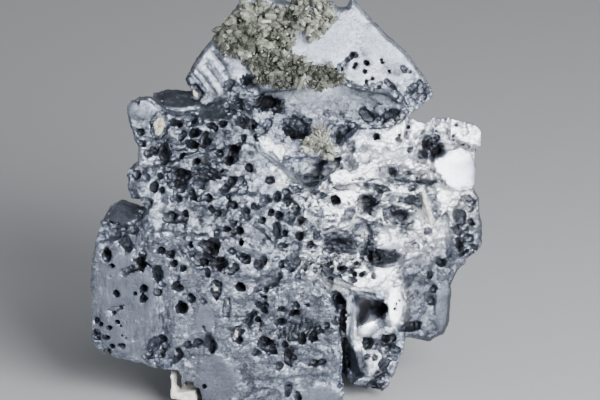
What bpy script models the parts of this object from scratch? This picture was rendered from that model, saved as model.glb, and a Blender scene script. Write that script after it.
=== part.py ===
"""A skeletal galena: intergrown, pitted lead sulphide crystals with pale quartz and calcite.

The specimen stands on its own foot. X runs to the right, Y to the back and Z up, and the floor is
Z = 0. Outlines are given as columns and rows of the front view, which looks down on the specimen by
VIEW_TILT, and each is laid on the plane of the crystal face that it belongs to.
"""

import math
import random
from collections import namedtuple

import bmesh
import bpy
from mathutils import Matrix, Vector
from mathutils.bvhtree import BVHTree

# Driving sizes, in metres
WIDTH = 0.0975
GAP = 0.0003
MM = 0.001

# The front view: its tilt, the columns that the width spans, and where X = 0 and the floor fall
VIEW_TILT = math.radians(18)
LEFT_COLUMN, RIGHT_COLUMN = 92, 482
MIDDLE_COLUMN = 290
FLOOR_ROW = 385
STEP = WIDTH / (RIGHT_COLUMN - LEFT_COLUMN)
# The share of a pit's dark spot that its cutter is wide, how far in front of the face the cutter
# starts, and how far a pale piece's pocket reaches out in front of it (mm)
PIT_SHARE = 0.85
PIT_CLEARANCE = 4.0
POCKET_REACH = 3.0

VIEW_UP = Vector((0, math.sin(VIEW_TILT), math.cos(VIEW_TILT)))
VIEW_AWAY = Vector((0, math.cos(VIEW_TILT), -math.sin(VIEW_TILT)))

# A crystal: the depth of its front face at the outline's middle (mm, minus is towards the viewer),
# how far the face leans back and turns to the right (degrees), the crystal's thickness (mm), the
# share of the outline left at its back, the width of its worn rim (mm) and the outline
Crystal = namedtuple("Crystal", "depth lean turn thick taper rim outline")

LEFT_PLATE = Crystal(-22, -5, -6, 20, 0.9, 1.0, (
    (93, 262), (97, 238), (105, 219), (137, 229), (165, 232), (240, 238), (303, 262), (329, 292),
    (339, 322), (342, 350), (342, 372), (250, 382), (195, 377), (165, 371), (135, 363), (101, 354),
    (92, 342), (92, 310)))
LEFT_LEDGE = Crystal(-20, -20, -16, 9, 0.95, 0.6, (
    (110, 262), (107, 219), (137, 228), (150, 226), (152, 262)))
FOOT = Crystal(-21, -2, -4, 30, 0.85, 1.0, (
    (181, 354), (343, 340), (345, 362), (343, 430), (202, 430), (203, 408), (199, 391), (182, 388)))
MIDDLE_LOW = Crystal(-22.6, 8, -6, 22, 0.95, 0.8, (
    (139, 229), (150, 206), (170, 196), (215, 192), (262, 194), (300, 206), (320, 226), (328, 262),
    (316, 276), (280, 282), (240, 276), (200, 270), (152, 256)))
MIDDLE_HIGH = Crystal(-19.6, 14, -3, 20, 0.95, 0.7, (
    (142, 206), (136, 186), (150, 168), (205, 152), (250, 142), (262, 152), (285, 170),
    (303, 188), (318, 202), (326, 232), (300, 245), (200, 235), (150, 215)))
UPPER_STEP = Crystal(-15, 5, -6, 8, 0.93, 0.9, (
    (128, 116), (129, 106), (137, 100), (154, 100), (166, 111), (200, 121), (238, 117), (250, 128),
    (259, 150), (262, 175), (240, 192), (180, 198), (152, 203), (133, 202), (129, 190), (127, 174),
    (138, 164), (139, 150), (134, 140), (132, 126)))
TROUGH = Crystal(-10.5, -27, -6, 11, 0.95, 0.4, (
    (148, 123), (165, 119), (200, 124), (240, 120), (253, 127), (252, 165), (150, 165)))
TOP_PLATE = Crystal(-5, 20, -3, 13, 0.9, 1.3, (
    (184, 82), (197, 62), (215, 38), (244, 0), (250, -6), (268, -5), (276, 3), (333, 4), (337, 10),
    (345, 9), (350, -3), (358, 8), (386, 39), (404, 54), (419, 73), (430, 90), (433, 98), (424, 108),
    (405, 112), (385, 97), (360, 94), (345, 89), (336, 82), (300, 91), (262, 96), (236, 108),
    (216, 119), (204, 119)))
TOP_SHELF = Crystal(-2.5, 16, -2, 16, 0.85, 0.6, (
    (212, 104), (240, 66), (300, 50), (380, 62), (410, 86), (424, 96), (426, 107), (400, 122),
    (386, 127), (356, 140), (345, 157), (300, 162), (256, 152), (250, 130), (238, 121)))
SHARD = Crystal(-10.5, 17, 12, 8, 0.9, 0.3, (
    (257, 133), (272, 135), (278, 143), (288, 146), (289, 154), (283, 165), (276, 160), (260, 149)))

BRIGHT_LEAN, BRIGHT_TURN = 18, 13
BRIGHT_BASE = Crystal(-9.5, BRIGHT_LEAN, BRIGHT_TURN, 20, 0.85, 0.5, (
    (300, 214), (312, 192), (330, 172), (341, 166), (347, 144), (355, 125), (387, 127), (407, 117),
    (425, 124), (432, 119),
    (446, 119), (473, 125), (478, 130), (478, 152), (474, 156), (473, 187), (455, 200), (441, 216),
    (430, 245), (408, 262), (396, 284), (386, 300), (360, 292), (330, 280), (318, 266), (302, 236)))

# The bright terraces: how far each stands out of the bright base (mm), and its outline
TERRACES = (
    (2.2, ((357, 128), (388, 129), (407, 118), (424, 126), (418, 134), (411, 147), (396, 150),
           (384, 156), (352, 150), (345, 141))),
    (1.5, ((431, 119), (446, 118), (474, 124), (479, 129), (479, 151), (457, 145), (447, 146),
           (440, 141), (429, 133))),
    (3.0, ((440, 158), (446, 150), (458, 149), (474, 155), (474, 182), (470, 190), (460, 193),
           (447, 190), (437, 182), (430, 172), (434, 160))),
    (2.6, ((328, 170), (351, 155), (384, 158), (415, 158), (428, 164), (431, 182), (418, 190),
           (394, 184), (376, 180), (352, 184), (330, 190))),
    (3.4, ((294, 208), (306, 197), (330, 190), (352, 190), (368, 193), (392, 199), (417, 206),
           (423, 222), (424, 238), (400, 240), (380, 235), (358, 227), (334, 234), (310, 226))),
    (3.8, ((316, 240), (336, 247), (357, 250), (375, 244), (405, 246), (429, 249), (424, 258),
           (408, 261), (392, 268), (384, 282), (370, 287), (350, 283), (337, 276), (324, 268))),
)

RIGHT_LOBE = Crystal(-3, 4, 24, 17, 0.85, 1.2, (
    (446, 196), (462, 192), (475, 187), (480, 198), (483, 215), (486, 222), (486, 236), (484, 248),
    (470, 260), (450, 262)))
RIGHT_FLANK = Crystal(-4.5, 2, 20, 20, 0.85, 1.5, (
    (398, 262), (425, 240), (444, 206), (456, 204), (468, 240), (468, 262), (461, 270), (456, 284),
    (452, 300), (451, 322), (445, 336), (431, 343), (413, 341), (400, 342), (384, 330), (380, 290)))
COLUMN = Crystal(-11, 6, 14, 20, 0.9, 0.8, (
    (354, 284), (378, 286), (402, 302), (408, 335), (407, 346), (402, 358), (397, 372), (391, 384),
    (382, 393), (366, 390), (350, 386), (349, 350), (351, 318)))
COLUMN_FACE = Crystal(-13.5, BRIGHT_LEAN, BRIGHT_TURN, 6, 0.9, 0.3, (
    (404, 281), (405, 300), (399, 318), (391, 328), (385, 318), (383, 300), (389, 287)))

# Crystals behind the front ones, which no front view shows: their boxes (mm) as low and high
# corners, and how far each is tipped about Y and turned about Z (degrees)
BACK_CRYSTALS = (
    ((-37, -12, 17), (16, 17, 55), 4, 3),
    ((-19, 3, 44), (22, 13, 80), -7, -4),
    ((6, -2, 15), (38, 15, 58), 5, -7),
    ((-23, -16, -4), (11, 17.6, 22), 1, 2),
    ((-29, 8, 27), (-4, 25, 49), 9, -9),
    ((-7, 6, 9), (20, 28, 41), -8, 6),
    ((12, 4, 34), (33, 22, 56), 12, 11),
    ((-24, 10, 3), (-6, 22.4, 28), -14, 8),
    ((-12, 4, 48), (8, 17.3, 70), 16, 5),
)

# The pale pieces. Each lies on a crystal's front face: the crystal, how far the piece stands out of
# the face and how thick it is (mm), the width of its worn rim (mm) and its outline
Inlay = namedtuple("Inlay", "crystal proud thick rim outline")

GRAINS = {
    "grain_pocket": Inlay(UPPER_STEP, 0.6, 2.2, 0.35, (
        (155, 126), (160, 118), (165, 117), (169, 124), (168, 134), (163, 140), (156, 138))),
    "grain_sliver": Inlay(UPPER_STEP, 0.5, 1.2, 0.15, (
        (174, 146), (181, 147), (189, 149), (189, 151), (181, 150), (174, 149))),
    "grain_front_high": Inlay(LEFT_PLATE, 0.5, 1.6, 0.25, (
        (213, 287), (217, 284), (222, 288), (221, 292), (215, 292))),
    "grain_front_long": Inlay(LEFT_PLATE, 0.5, 1.6, 0.25, (
        (227, 298), (231, 297), (231, 306), (229, 314), (226, 315), (226, 306))),
    "grain_front_low": Inlay(LEFT_PLATE, 0.7, 2.0, 0.35, (
        (234, 328), (239, 327), (242, 332), (240, 338), (235, 338), (233, 334))),
    "grain_corner": Inlay(TOP_PLATE, 0.7, 2.2, 0.3, (
        (191, 90), (197, 89), (203, 97), (201, 102), (196, 101))),
}
BLADE = Inlay(BRIGHT_BASE, 3.6, 4.4, 0.3, (
    (418, 190), (424, 189), (429, 206), (434, 223), (428, 227), (422, 208)))
CALCITE_BLOCKS = (
    Inlay(FOOT, 0.9, 9, 0.5, ((166, 371), (178, 371), (180, 390), (186, 402), (170, 400))),
    Inlay(FOOT, 0.2, 11, 0.5, ((176, 389), (200, 387), (202, 430), (178, 430))),
)

# The crust on the top plate: its outline, its mat's thickness (mm) and how many crystals it has
CRUST_OUTLINE = (
    (223, 57), (217, 43), (228, 29), (244, 17), (262, 6), (280, 10), (300, 5), (317, 3), (333, 7),
    (336, 22), (325, 40), (312, 45), (303, 31), (297, 38), (293, 50), (298, 60), (312, 66),
    (330, 69), (343, 76), (344, 88), (330, 92), (300, 90), (276, 92), (259, 86), (251, 72), (240, 61))
CRUST_MAT = 1.0
CRUST_CRYSTALS = 46

# The tuft in the hollow: its outline, and each crystal's foot, width, length (steps of the front
# view), lean and turn (degrees)
TUFT_OUTLINE = ((305, 137), (316, 126), (328, 132), (333, 148), (327, 160), (309, 154))
TUFT_CRYSTALS = (
    (309, 150, 11, 20, 10, -35), (314, 142, 9, 22, 30, -20), (308, 143, 8, 16, 20, -50),
    (327, 157, 11, 24, 5, 15), (328, 147, 9, 20, 20, 25), (331, 152, 7, 16, 0, 40),
    (319, 136, 4, 30, 52, -10), (323, 137, 4, 34, 60, 12), (316, 133, 3, 32, 62, -24),
    (326, 138, 3, 28, 50, 28), (320, 145, 5, 28, 25, 2), (313, 135, 4, 26, 45, -40),
)

# Pits of each crystal face: column, row, width and height in steps of the front view
PITS = (
    (LEFT_PLATE, 3.2, (
        (118, 235, 8, 7), (112, 256, 8, 12), (117, 265, 7, 7), (144, 264, 13, 11), (160, 274, 8, 14),
        (147, 287, 8, 8), (147, 297, 7, 7), (131, 245, 6, 9), (120, 292, 8, 8), (184, 307, 10, 10),
        (113, 326, 6, 6), (100, 333, 5, 8), (155, 345, 8, 14), (164, 352, 5, 5), (164, 339, 6, 5),
        (125, 343, 7, 6), (177, 262, 6, 6), (165, 250, 7, 6), (213, 248, 13, 12), (206, 262, 8, 8),
        (220, 262, 14, 11), (245, 258, 9, 8), (242, 285, 10, 9), (283, 262, 6, 6), (292, 263, 6, 6),
        (303, 266, 6, 6), (313, 268, 8, 8), (250, 320, 6, 5), (266, 341, 10, 8), (302, 338, 7, 6),
        (314, 336, 7, 7), (285, 343, 5, 5), (288, 354, 5, 13), (313, 361, 6, 5), (264, 308, 6, 6),
        (293, 311, 8, 6), (280, 320, 9, 6), (180, 285, 7, 6), (193, 297, 4, 6), (175, 357, 6, 5))),
    (FOOT, 2.6, (
        (206, 384, 6, 6), (298, 392, 6, 6), (288, 386, 5, 5))),
    (MIDDLE_LOW, 3.0, (
        (176, 216, 7, 7), (189, 213, 6, 6), (213, 198, 6, 6), (241, 230, 6, 6), (219, 232, 6, 6),
        (272, 212, 5, 5), (279, 216, 7, 7), (291, 219, 6, 6), (300, 221, 7, 7), (301, 236, 7, 7),
        (316, 234, 6, 6), (325, 248, 7, 7), (284, 232, 6, 6), (262, 204, 6, 6))),
    (MIDDLE_HIGH, 2.8, (
        (227, 188, 7, 6), (233, 181, 6, 6), (288, 198, 6, 9), (296, 190, 6, 6), (270, 181, 6, 5),
        (316, 214, 6, 6), (181, 184, 14, 9), (195, 194, 7, 6), (296, 206, 6, 6))),
    (UPPER_STEP, 2.6, (
        (145, 134, 5, 5), (146, 145, 6, 6), (197, 124, 6, 7), (197, 135, 9, 8), (195, 146, 9, 7),
        (207, 144, 7, 9), (158, 152, 7, 7), (167, 156, 6, 16), (235, 151, 9, 8), (201, 163, 6, 6),
        (230, 161, 9, 9), (181, 175, 13, 9), (182, 126, 5, 5), (221, 155, 6, 6), (142, 106, 4, 4))),
    (TOP_SHELF, 4.0, (
        (268, 105, 22, 13), (252, 126, 10, 11), (240, 101, 6, 5), (390, 116, 12, 5))),
    (TOP_PLATE, 1.6, (
        (351, 58, 4, 4), (365, 66, 6, 5), (412, 90, 11, 7))),
    (BRIGHT_BASE, 2.8, (
        (427, 145, 16, 12), (422, 156, 10, 7), (452, 136, 5, 5), (376, 138, 5, 5), (397, 141, 7, 5),
        (390, 171, 9, 7), (407, 175, 8, 6), (411, 189, 10, 7), (366, 201, 13, 9), (399, 217, 14, 8),
        (363, 241, 5, 12), (340, 267, 7, 7), (335, 200, 6, 5), (350, 163, 7, 9), (326, 262, 7, 7),
        (355, 262, 9, 5), (372, 257, 24, 10), (310, 243, 6, 6), (426, 250, 6, 5), (318, 222, 7, 6))),
    (RIGHT_LOBE, 2.4, (
        (470, 208, 4, 4), (460, 216, 7, 6), (470, 222, 4, 4), (459, 247, 6, 13), (471, 249, 5, 4))),
    (RIGHT_FLANK, 3.0, (
        (412, 327, 15, 7), (441, 262, 6, 5))),
    (COLUMN, 3.0, (
        (366, 341, 7, 9), (386, 337, 8, 7), (382, 349, 8, 5), (393, 352, 8, 5), (373, 356, 5, 5),
        (395, 302, 5, 5))),
)

# Pits of the faces that the front view doesn't show: the side (x, y, z) that each group is seen
# from, how many it has, and the room (mm) in X, Y and Z that they are scattered in
SCATTERED_PITS = ((0, 1, 0.15, 18), (1, 0.5, 0.1, 7), (-1, 0.4, 0.1, 7))
SCATTER_ROOM = ((-38, 38), (-14, 16), (8, 84))


def clear_scene():
    for obj in list(bpy.data.objects):
        bpy.data.objects.remove(obj)


def seen(column, row, away):
    """The point that the front view shows at a column and row, this far (metres) behind the view plane."""
    right = (column - MIDDLE_COLUMN) * STEP
    up = (FLOOR_ROW - row) * STEP
    return Vector((right, 0, 0)) + VIEW_UP * up + VIEW_AWAY * away


def at_depth(column, row, depth):
    """The point that the front view shows at a column and row, at a depth Y in millimetres."""
    start = seen(column, row, 0)
    return start + VIEW_AWAY * ((depth * MM - start.y) / VIEW_AWAY.y)


def inside(column, row, outline):
    """Whether a place of the front view lies inside an outline."""
    within = False
    for (c1, r1), (c2, r2) in zip(outline, outline[1:] + outline[:1]):
        if (r1 > row) != (r2 > row) and column < c1 + (row - r1) * (c2 - c1) / (r2 - r1):
            within = not within
    return within


def middle_of(outline):
    columns = [point[0] for point in outline]
    rows = [point[1] for point in outline]
    return (min(columns) + max(columns)) / 2, (min(rows) + max(rows)) / 2


def facing(lean, turn):
    """The outward normal of a front face that leans back and turns right."""
    lean, turn = math.radians(lean), math.radians(turn)
    return Vector((math.sin(turn) * math.cos(lean), -math.cos(turn) * math.cos(lean), math.sin(lean)))


def face_plane(crystal):
    """A point of the crystal's front plane and the plane's outward normal."""
    return at_depth(*middle_of(crystal.outline), crystal.depth), facing(crystal.lean, crystal.turn)


def on_plane(column, row, origin, normal):
    start = seen(column, row, 0)
    return start + VIEW_AWAY * ((origin - start).dot(normal) / VIEW_AWAY.dot(normal))


def new_object(name, mesh_data):
    mesh = bpy.data.meshes.new(name)
    mesh_data.to_mesh(mesh)
    mesh_data.free()
    obj = bpy.data.objects.new(name, mesh)
    bpy.context.scene.collection.objects.link(obj)
    return obj


def prism(corners, along, taper=1.0, rim=0.0):
    """A bmesh prism on a ring of corners, its worn front rim bevelled."""
    bm = bmesh.new()
    front = bm.faces.new([bm.verts.new(corner) for corner in corners])
    made = bmesh.ops.extrude_face_region(bm, geom=[front], use_keep_orig=True)
    back = [item for item in made["geom"] if isinstance(item, bmesh.types.BMVert)]
    bmesh.ops.translate(bm, verts=back, vec=along)
    middle = sum((vert.co for vert in back), Vector()) / len(back)
    for vert in back:
        vert.co = middle + (vert.co - middle) * taper
    if rim:
        bmesh.ops.bevel(bm, geom=list(front.edges), offset=rim, segments=1, affect="EDGES",
                        clamp_overlap=True)
    bmesh.ops.recalc_face_normals(bm, faces=bm.faces)
    return bm


def flat_prism(origin, normal, outline, thick, taper=1.0, rim=0.0):
    """A prism (mm) whose front face shows the outline on the plane given, and which runs inwards."""
    corners = [on_plane(column, row, origin, normal) for column, row in outline]
    return prism(corners, normal * -thick * MM, taper, rim * MM)


def crystal_body(name, crystal):
    origin, normal = face_plane(crystal)
    shape = flat_prism(origin, normal, crystal.outline, crystal.thick, crystal.taper, crystal.rim)
    return new_object(name, shape)


def terrace_body(name, proud, outline):
    origin, normal = face_plane(BRIGHT_BASE)
    shape = flat_prism(origin + normal * proud * MM, normal, outline, proud + 3, 0.98, 0.25)
    return new_object(name, shape)


def back_body(name, low, high, tip, turn):
    """One crystal of the back: a tipped and turned box with its edges worn."""
    bm = bmesh.new()
    size = Vector(high) - Vector(low)
    middle = (Vector(high) + Vector(low)) / 2
    bmesh.ops.create_cube(bm, size=1, matrix=Matrix.Diagonal((*size * MM, 1)))
    bmesh.ops.bevel(bm, geom=list(bm.edges), offset=1.5 * MM, segments=1, affect="EDGES")
    tipped = Matrix.Rotation(math.radians(turn), 4, "Z") @ Matrix.Rotation(math.radians(tip), 4, "Y")
    place = Matrix.Translation(middle * MM) @ tipped
    bmesh.ops.transform(bm, matrix=place, verts=bm.verts)
    return new_object(name, bm)


def pit_cutter(name, mouth, normal, size, deep, rng):
    """A six-sided hole (mm) that narrows inwards from its mouth on a face."""
    across, upward = plane_axes(normal)
    start = rng.uniform(0, math.pi / 3)
    ring = []
    for k in range(6):
        angle = start + k * math.pi / 3
        reach = rng.uniform(0.92, 1.1) * MM / 2
        ring.append(mouth + normal * PIT_CLEARANCE * MM + across * math.cos(angle) * size[0] * reach
                    + upward * math.sin(angle) * size[1] * reach)
    depth = (deep * rng.uniform(0.8, 1.2) + PIT_CLEARANCE) * MM
    return new_object(name, prism(ring, -normal * depth, 0.8))


def front_pits(rng):
    """The cutters of the pits that the front view shows."""
    cutters = []
    for crystal, deep, pits in PITS:
        origin, normal = face_plane(crystal)
        for column, row, wide, high in pits:
            mouth = on_plane(column, row, origin, normal)
            size = [side * PIT_SHARE * STEP / MM for side in (wide, high)]
            cutters.append(pit_cutter(f"pit_{len(cutters)}", mouth, normal, size, deep, rng))
    return cutters


def scattered_pits(obj, rng):
    """The cutters of the pits of the back and the sides, each on a flat place of a face."""
    tree = BVHTree.FromObject(obj, bpy.context.evaluated_depsgraph_get())
    cutters = []
    for x, y, z, count in SCATTERED_PITS:
        side = Vector((x, y, z)).normalized()
        across, upward = plane_axes(side)
        made = 0
        while made < count:
            target = Vector([rng.uniform(low, high) * MM for low, high in SCATTER_ROOM])
            start = target + side * WIDTH
            spot, normal = tree.ray_cast(start, -side)[:2]
            if spot is None or normal.dot(side) < 0.8:
                continue
            around = [tree.ray_cast(start + step * 2 * MM, -side)[1] for step in
                      (across, -across, upward, -upward)]
            if any(other is None or other.dot(normal) < 0.99 for other in around):
                continue
            size = (rng.uniform(1.4, 2.6), rng.uniform(1.4, 3.0))
            cutters.append(pit_cutter(f"back_pit_{len(cutters)}", spot, normal, size, 2.8, rng))
            made += 1
    return cutters


def plane_axes(normal):
    """Two unit vectors across and up a face."""
    across = Vector((0, 0, 1)).cross(-normal).normalized()
    return across, (-normal).cross(across).normalized()


def grown(corners, normal, gap):
    """A ring of corners with each side moved outwards by the gap."""
    count = len(corners)
    middle = sum(corners, Vector()) / count
    wider = []
    for k, corner in enumerate(corners):
        before = (corner - corners[k - 1]).normalized()
        after = (corners[(k + 1) % count] - corner).normalized()
        outward = before.cross(normal) + after.cross(normal)
        if outward.dot(corner - middle) < 0:
            outward = -outward
        outward.normalize()
        wider.append(corner + outward * gap / max(0.5, abs(outward.dot(before.cross(normal)))))
    return wider


def inlay_body(name, inlay):
    origin, normal = face_plane(inlay.crystal)
    front = origin + normal * inlay.proud * MM
    return new_object(name, flat_prism(front, normal, inlay.outline, inlay.thick, 0.9, inlay.rim))


def inlay_pocket(name, inlay):
    """The room that a pale piece takes in the galena, with the gap all round."""
    origin, normal = face_plane(inlay.crystal)
    front = origin + normal * inlay.proud * MM
    corners = [on_plane(column, row, front, normal) for column, row in inlay.outline]
    mouth = [corner + normal * POCKET_REACH * MM for corner in grown(corners, normal, GAP)]
    return new_object(name, prism(mouth, normal * -((inlay.thick + POCKET_REACH) * MM + GAP)))


def pointed_crystal(name, foot, direction, radius, length, rng, sides=6):
    """A prism with a pointed end, its foot ring round the foot point."""
    bm = bmesh.new()
    turn = Matrix.Rotation(rng.uniform(0, math.tau), 4, "Z")
    place = Matrix.Translation(foot) @ direction.to_track_quat("Z", "Y").to_matrix().to_4x4() @ turn
    ring = []
    for k in range(sides):
        angle = math.tau * k / sides
        ring.append(Vector((radius * math.cos(angle), radius * math.sin(angle), 0)))
    low = [bm.verts.new(place @ corner) for corner in ring]
    high = [bm.verts.new(place @ (corner * 0.9 + Vector((0, 0, length * 0.65)))) for corner in ring]
    tip = bm.verts.new(place @ Vector((radius * 0.2, 0, length)))
    bm.faces.new(low)
    for k in range(sides):
        after = (k + 1) % sides
        bm.faces.new((low[k], low[after], high[after], high[k]))
        bm.faces.new((high[k], high[after], tip))
    bmesh.ops.recalc_face_normals(bm, faces=bm.faces)
    return new_object(name, bm)


def combine(obj, operation, parts):
    """The object joined with, or cut by, each part in turn, and the parts removed."""
    for part in parts:
        boolean = obj.modifiers.new(part.name, "BOOLEAN")
        boolean.operation = operation
        boolean.solver = "EXACT"
        boolean.object = part
        evaluated = obj.evaluated_get(bpy.context.evaluated_depsgraph_get())
        mesh = bpy.data.meshes.new_from_object(evaluated)
        obj.modifiers.clear()
        obj.data = mesh
        bpy.data.objects.remove(part)


def below_floor(name):
    """A block that takes off what would reach under the floor."""
    bm = bmesh.new()
    middle = Vector((0, 0, -WIDTH / 2))
    place = Matrix.Translation(middle) @ Matrix.Diagonal((2 * WIDTH, 2 * WIDTH, WIDTH, 1))
    bmesh.ops.create_cube(bm, size=1, matrix=place)
    return new_object(name, bm)


def behind_plane(name, origin, normal):
    """A block that takes off what lies behind a plane."""
    across, upward = plane_axes(normal)
    reach = WIDTH / 2
    square = ((-1, -1), (1, -1), (1, 1), (-1, 1))
    corners = [origin + (across * x + upward * y) * reach for x, y in square]
    return new_object(name, prism(corners, normal * -reach / 2))


def fill_sealed_hollows(obj):
    """Keep only the outermost shell, so that no gap between the crystals is sealed in."""
    bm = bmesh.new()
    bm.from_mesh(obj.data)
    shells = []
    left = set(bm.faces)
    while left:
        shell = {left.pop()}
        edge_of_shell = list(shell)
        while edge_of_shell:
            face = edge_of_shell.pop()
            near = {other for edge in face.edges for other in edge.link_faces} - shell
            shell |= near
            edge_of_shell += near
        left -= shell
        shells.append(shell)
    shells.sort(key=len)
    for shell in shells[:-1]:
        bmesh.ops.delete(bm, geom=list(shell), context="FACES")
    bm.to_mesh(obj.data)
    bm.free()


def galena(material):
    rng = random.Random(7)
    crystals = (LEFT_PLATE, LEFT_LEDGE, FOOT, MIDDLE_LOW, MIDDLE_HIGH, UPPER_STEP, TROUGH, TOP_PLATE,
                TOP_SHELF, SHARD, BRIGHT_BASE, RIGHT_LOBE, RIGHT_FLANK, COLUMN, COLUMN_FACE)
    bodies = [crystal_body(f"crystal_{k}", crystal) for k, crystal in enumerate(crystals)]
    bodies += [back_body(f"back_{k}", *values) for k, values in enumerate(BACK_CRYSTALS)]
    bodies += [terrace_body(f"terrace_{k}", *values) for k, values in enumerate(TERRACES)]
    obj = bodies.pop(0)
    obj.name = "galena"
    combine(obj, "UNION", bodies)
    cutters = front_pits(rng) + scattered_pits(obj, rng)
    for inlay in (*GRAINS.values(), BLADE, *CALCITE_BLOCKS):
        cutters.append(inlay_pocket(f"pocket_{len(cutters)}", inlay))
    cutters.append(below_floor("floor"))
    combine(obj, "DIFFERENCE", cutters)
    fill_sealed_hollows(obj)
    obj.data.materials.append(material)
    return obj


def quartz_crust(material):
    """The mat of small quartz crystals on the top plate."""
    rng = random.Random(11)
    origin, normal = face_plane(TOP_PLATE)
    across, upward = plane_axes(normal)
    lifted = origin + normal * (GAP + CRUST_MAT * MM)
    obj = new_object("quartz_crust", flat_prism(lifted, normal, CRUST_OUTLINE, CRUST_MAT))
    crystals = []
    while len(crystals) < CRUST_CRYSTALS:
        column, row = rng.uniform(216, 345), rng.uniform(2, 92)
        if not inside(column, row, CRUST_OUTLINE):
            continue
        foot = on_plane(column, row, lifted, normal) - normal * 0.3 * MM
        direction = normal + across * rng.uniform(-0.8, 0.8) + upward * rng.uniform(-0.7, 0.7)
        crystals.append(pointed_crystal(f"point_{len(crystals)}", foot, direction,
                                        rng.uniform(0.8, 1.7) * MM, rng.uniform(1.6, 4.2) * MM, rng))
    combine(obj, "UNION", crystals)
    combine(obj, "DIFFERENCE", [behind_plane("plate", origin + normal * GAP, normal)])
    obj.data.materials.append(material)
    return obj


def quartz_tuft(material):
    """The tuft of needles and stubby crystals in the hollow under the top plate."""
    rng = random.Random(5)
    origin, normal = face_plane(TOP_SHELF)
    lifted = origin + normal * (GAP + 1.2 * MM)
    obj = new_object("quartz_tuft", flat_prism(lifted, normal, TUFT_OUTLINE, 1.2))
    crystals = []
    for k, (column, row, wide, length, lean, turn) in enumerate(TUFT_CRYSTALS):
        foot = on_plane(column, row, lifted, normal) - normal * 0.5 * MM
        crystals.append(pointed_crystal(f"needle_{k}", foot, facing(lean, turn), wide * STEP / 2,
                                        length * STEP, rng))
    combine(obj, "UNION", crystals)
    combine(obj, "DIFFERENCE", [behind_plane("shelf", origin + normal * GAP, normal)])
    obj.data.materials.append(material)
    return obj


def quartz_blade(material):
    obj = inlay_body("quartz_blade", BLADE)
    obj.data.materials.append(material)
    return obj


def calcite_foot(material):
    blocks = [inlay_body(f"block_{k}", inlay) for k, inlay in enumerate(CALCITE_BLOCKS)]
    obj = blocks.pop(0)
    obj.name = "calcite_foot"
    combine(obj, "UNION", blocks)
    combine(obj, "DIFFERENCE", [below_floor("floor")])
    obj.data.materials.append(material)
    return obj


def grains(material):
    for name, inlay in GRAINS.items():
        inlay_body(name, inlay).data.materials.append(material)


def finish(name, colour, roughness, metallic):
    material = bpy.data.materials.new(name)
    material.use_nodes = True
    shader = material.node_tree.nodes["Principled BSDF"]
    shader.inputs["Base Color"].default_value = (*colour, 1)
    shader.inputs["Roughness"].default_value = roughness
    shader.inputs["Metallic"].default_value = metallic
    return material


clear_scene()
galena(finish("galena", (0.42, 0.44, 0.47), 0.35, 0.9))
quartz_crust(finish("quartz", (0.62, 0.66, 0.50), 0.3, 0.0))
quartz_tuft(finish("quartz_pale", (0.74, 0.74, 0.62), 0.35, 0.0))
quartz_blade(bpy.data.materials["quartz_pale"])
calcite_foot(finish("calcite", (0.72, 0.70, 0.64), 0.6, 0.0))
grains(finish("calcite_grain", (0.74, 0.69, 0.52), 0.5, 0.0))
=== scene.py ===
"""The looks of a skeletal galena: pitted, terraced lead-grey crystals with pale quartz and calcite.

Shapes are worked out in millimetres and turned into metres where a mesh is made. Places are given
as columns and rows of the front view, which looks down on the specimen by VIEW_TILT, and each lands
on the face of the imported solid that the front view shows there.
"""

import math
import random
from collections import namedtuple

import bpy
import numpy as np
import openvdb
from mathutils import Euler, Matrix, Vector
from mathutils.bvhtree import BVHTree

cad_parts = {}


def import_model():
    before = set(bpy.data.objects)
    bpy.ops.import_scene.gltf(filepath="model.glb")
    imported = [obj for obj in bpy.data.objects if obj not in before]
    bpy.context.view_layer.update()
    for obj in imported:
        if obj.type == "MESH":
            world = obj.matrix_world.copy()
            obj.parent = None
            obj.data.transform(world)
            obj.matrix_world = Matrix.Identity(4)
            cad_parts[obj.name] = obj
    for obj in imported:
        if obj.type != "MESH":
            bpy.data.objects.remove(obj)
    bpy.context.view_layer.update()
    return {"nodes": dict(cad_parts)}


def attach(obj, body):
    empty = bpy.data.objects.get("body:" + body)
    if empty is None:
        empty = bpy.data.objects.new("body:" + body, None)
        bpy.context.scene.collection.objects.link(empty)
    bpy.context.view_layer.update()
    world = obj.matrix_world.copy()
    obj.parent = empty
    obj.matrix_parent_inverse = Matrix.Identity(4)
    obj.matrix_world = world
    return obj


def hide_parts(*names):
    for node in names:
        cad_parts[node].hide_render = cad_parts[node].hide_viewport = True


MM = 0.001

# The front view: its tilt, the columns that the specimen's width spans, the column of X = 0 and the
# row of the floor under Y = 0
VIEW_TILT = math.radians(18)
LEFT_COLUMN, RIGHT_COLUMN = 92, 482
MIDDLE_COLUMN = 290
FLOOR_ROW = 385
SPECIMEN_WIDTH = 97.5
STEP = SPECIMEN_WIDTH / (RIGHT_COLUMN - LEFT_COLUMN)
VIEW_COLUMNS, VIEW_ROWS = 600, 400
VIEW_AWAY = Vector((0, math.cos(VIEW_TILT), -math.sin(VIEW_TILT)))
VIEW_UP = Vector((0, math.sin(VIEW_TILT), math.cos(VIEW_TILT)))
VIEW_RIGHT = Vector((1, 0, 0))
EYE_DISTANCE = 1400

# The grids that fine surfaces are worked out on (mm), and how far from a solid's surface they hold
# distances, outwards and inwards, in grid steps
GALENA_VOXEL = 0.26
BACK_VOXEL = 0.4
PALE_VOXEL = 0.22
OUTER_BAND, INNER_BAND = 4, 10
FLATNESS = 0.14
SHARP_ANGLE = 24
LATTICE = 64
# How far out the ring lies that a pit's mouth is found from, in half widths of the pit
PIT_RING = 1.45
# How far the edges of the tone patches fade, in steps of the front view, and how finely
PATCH_EDGE = 3
EDGE_SAMPLES = 16
TURNED = np.array(Euler((0.6, 0.5, 0.9)).to_matrix(), np.float32)

# A grid: signed distances, the painted shade of pits and cracks (from how deep each place lies, mm), its
# lowest index and step (mm)
Grid = namedtuple("Grid", "distance sunk low voxel")
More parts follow.
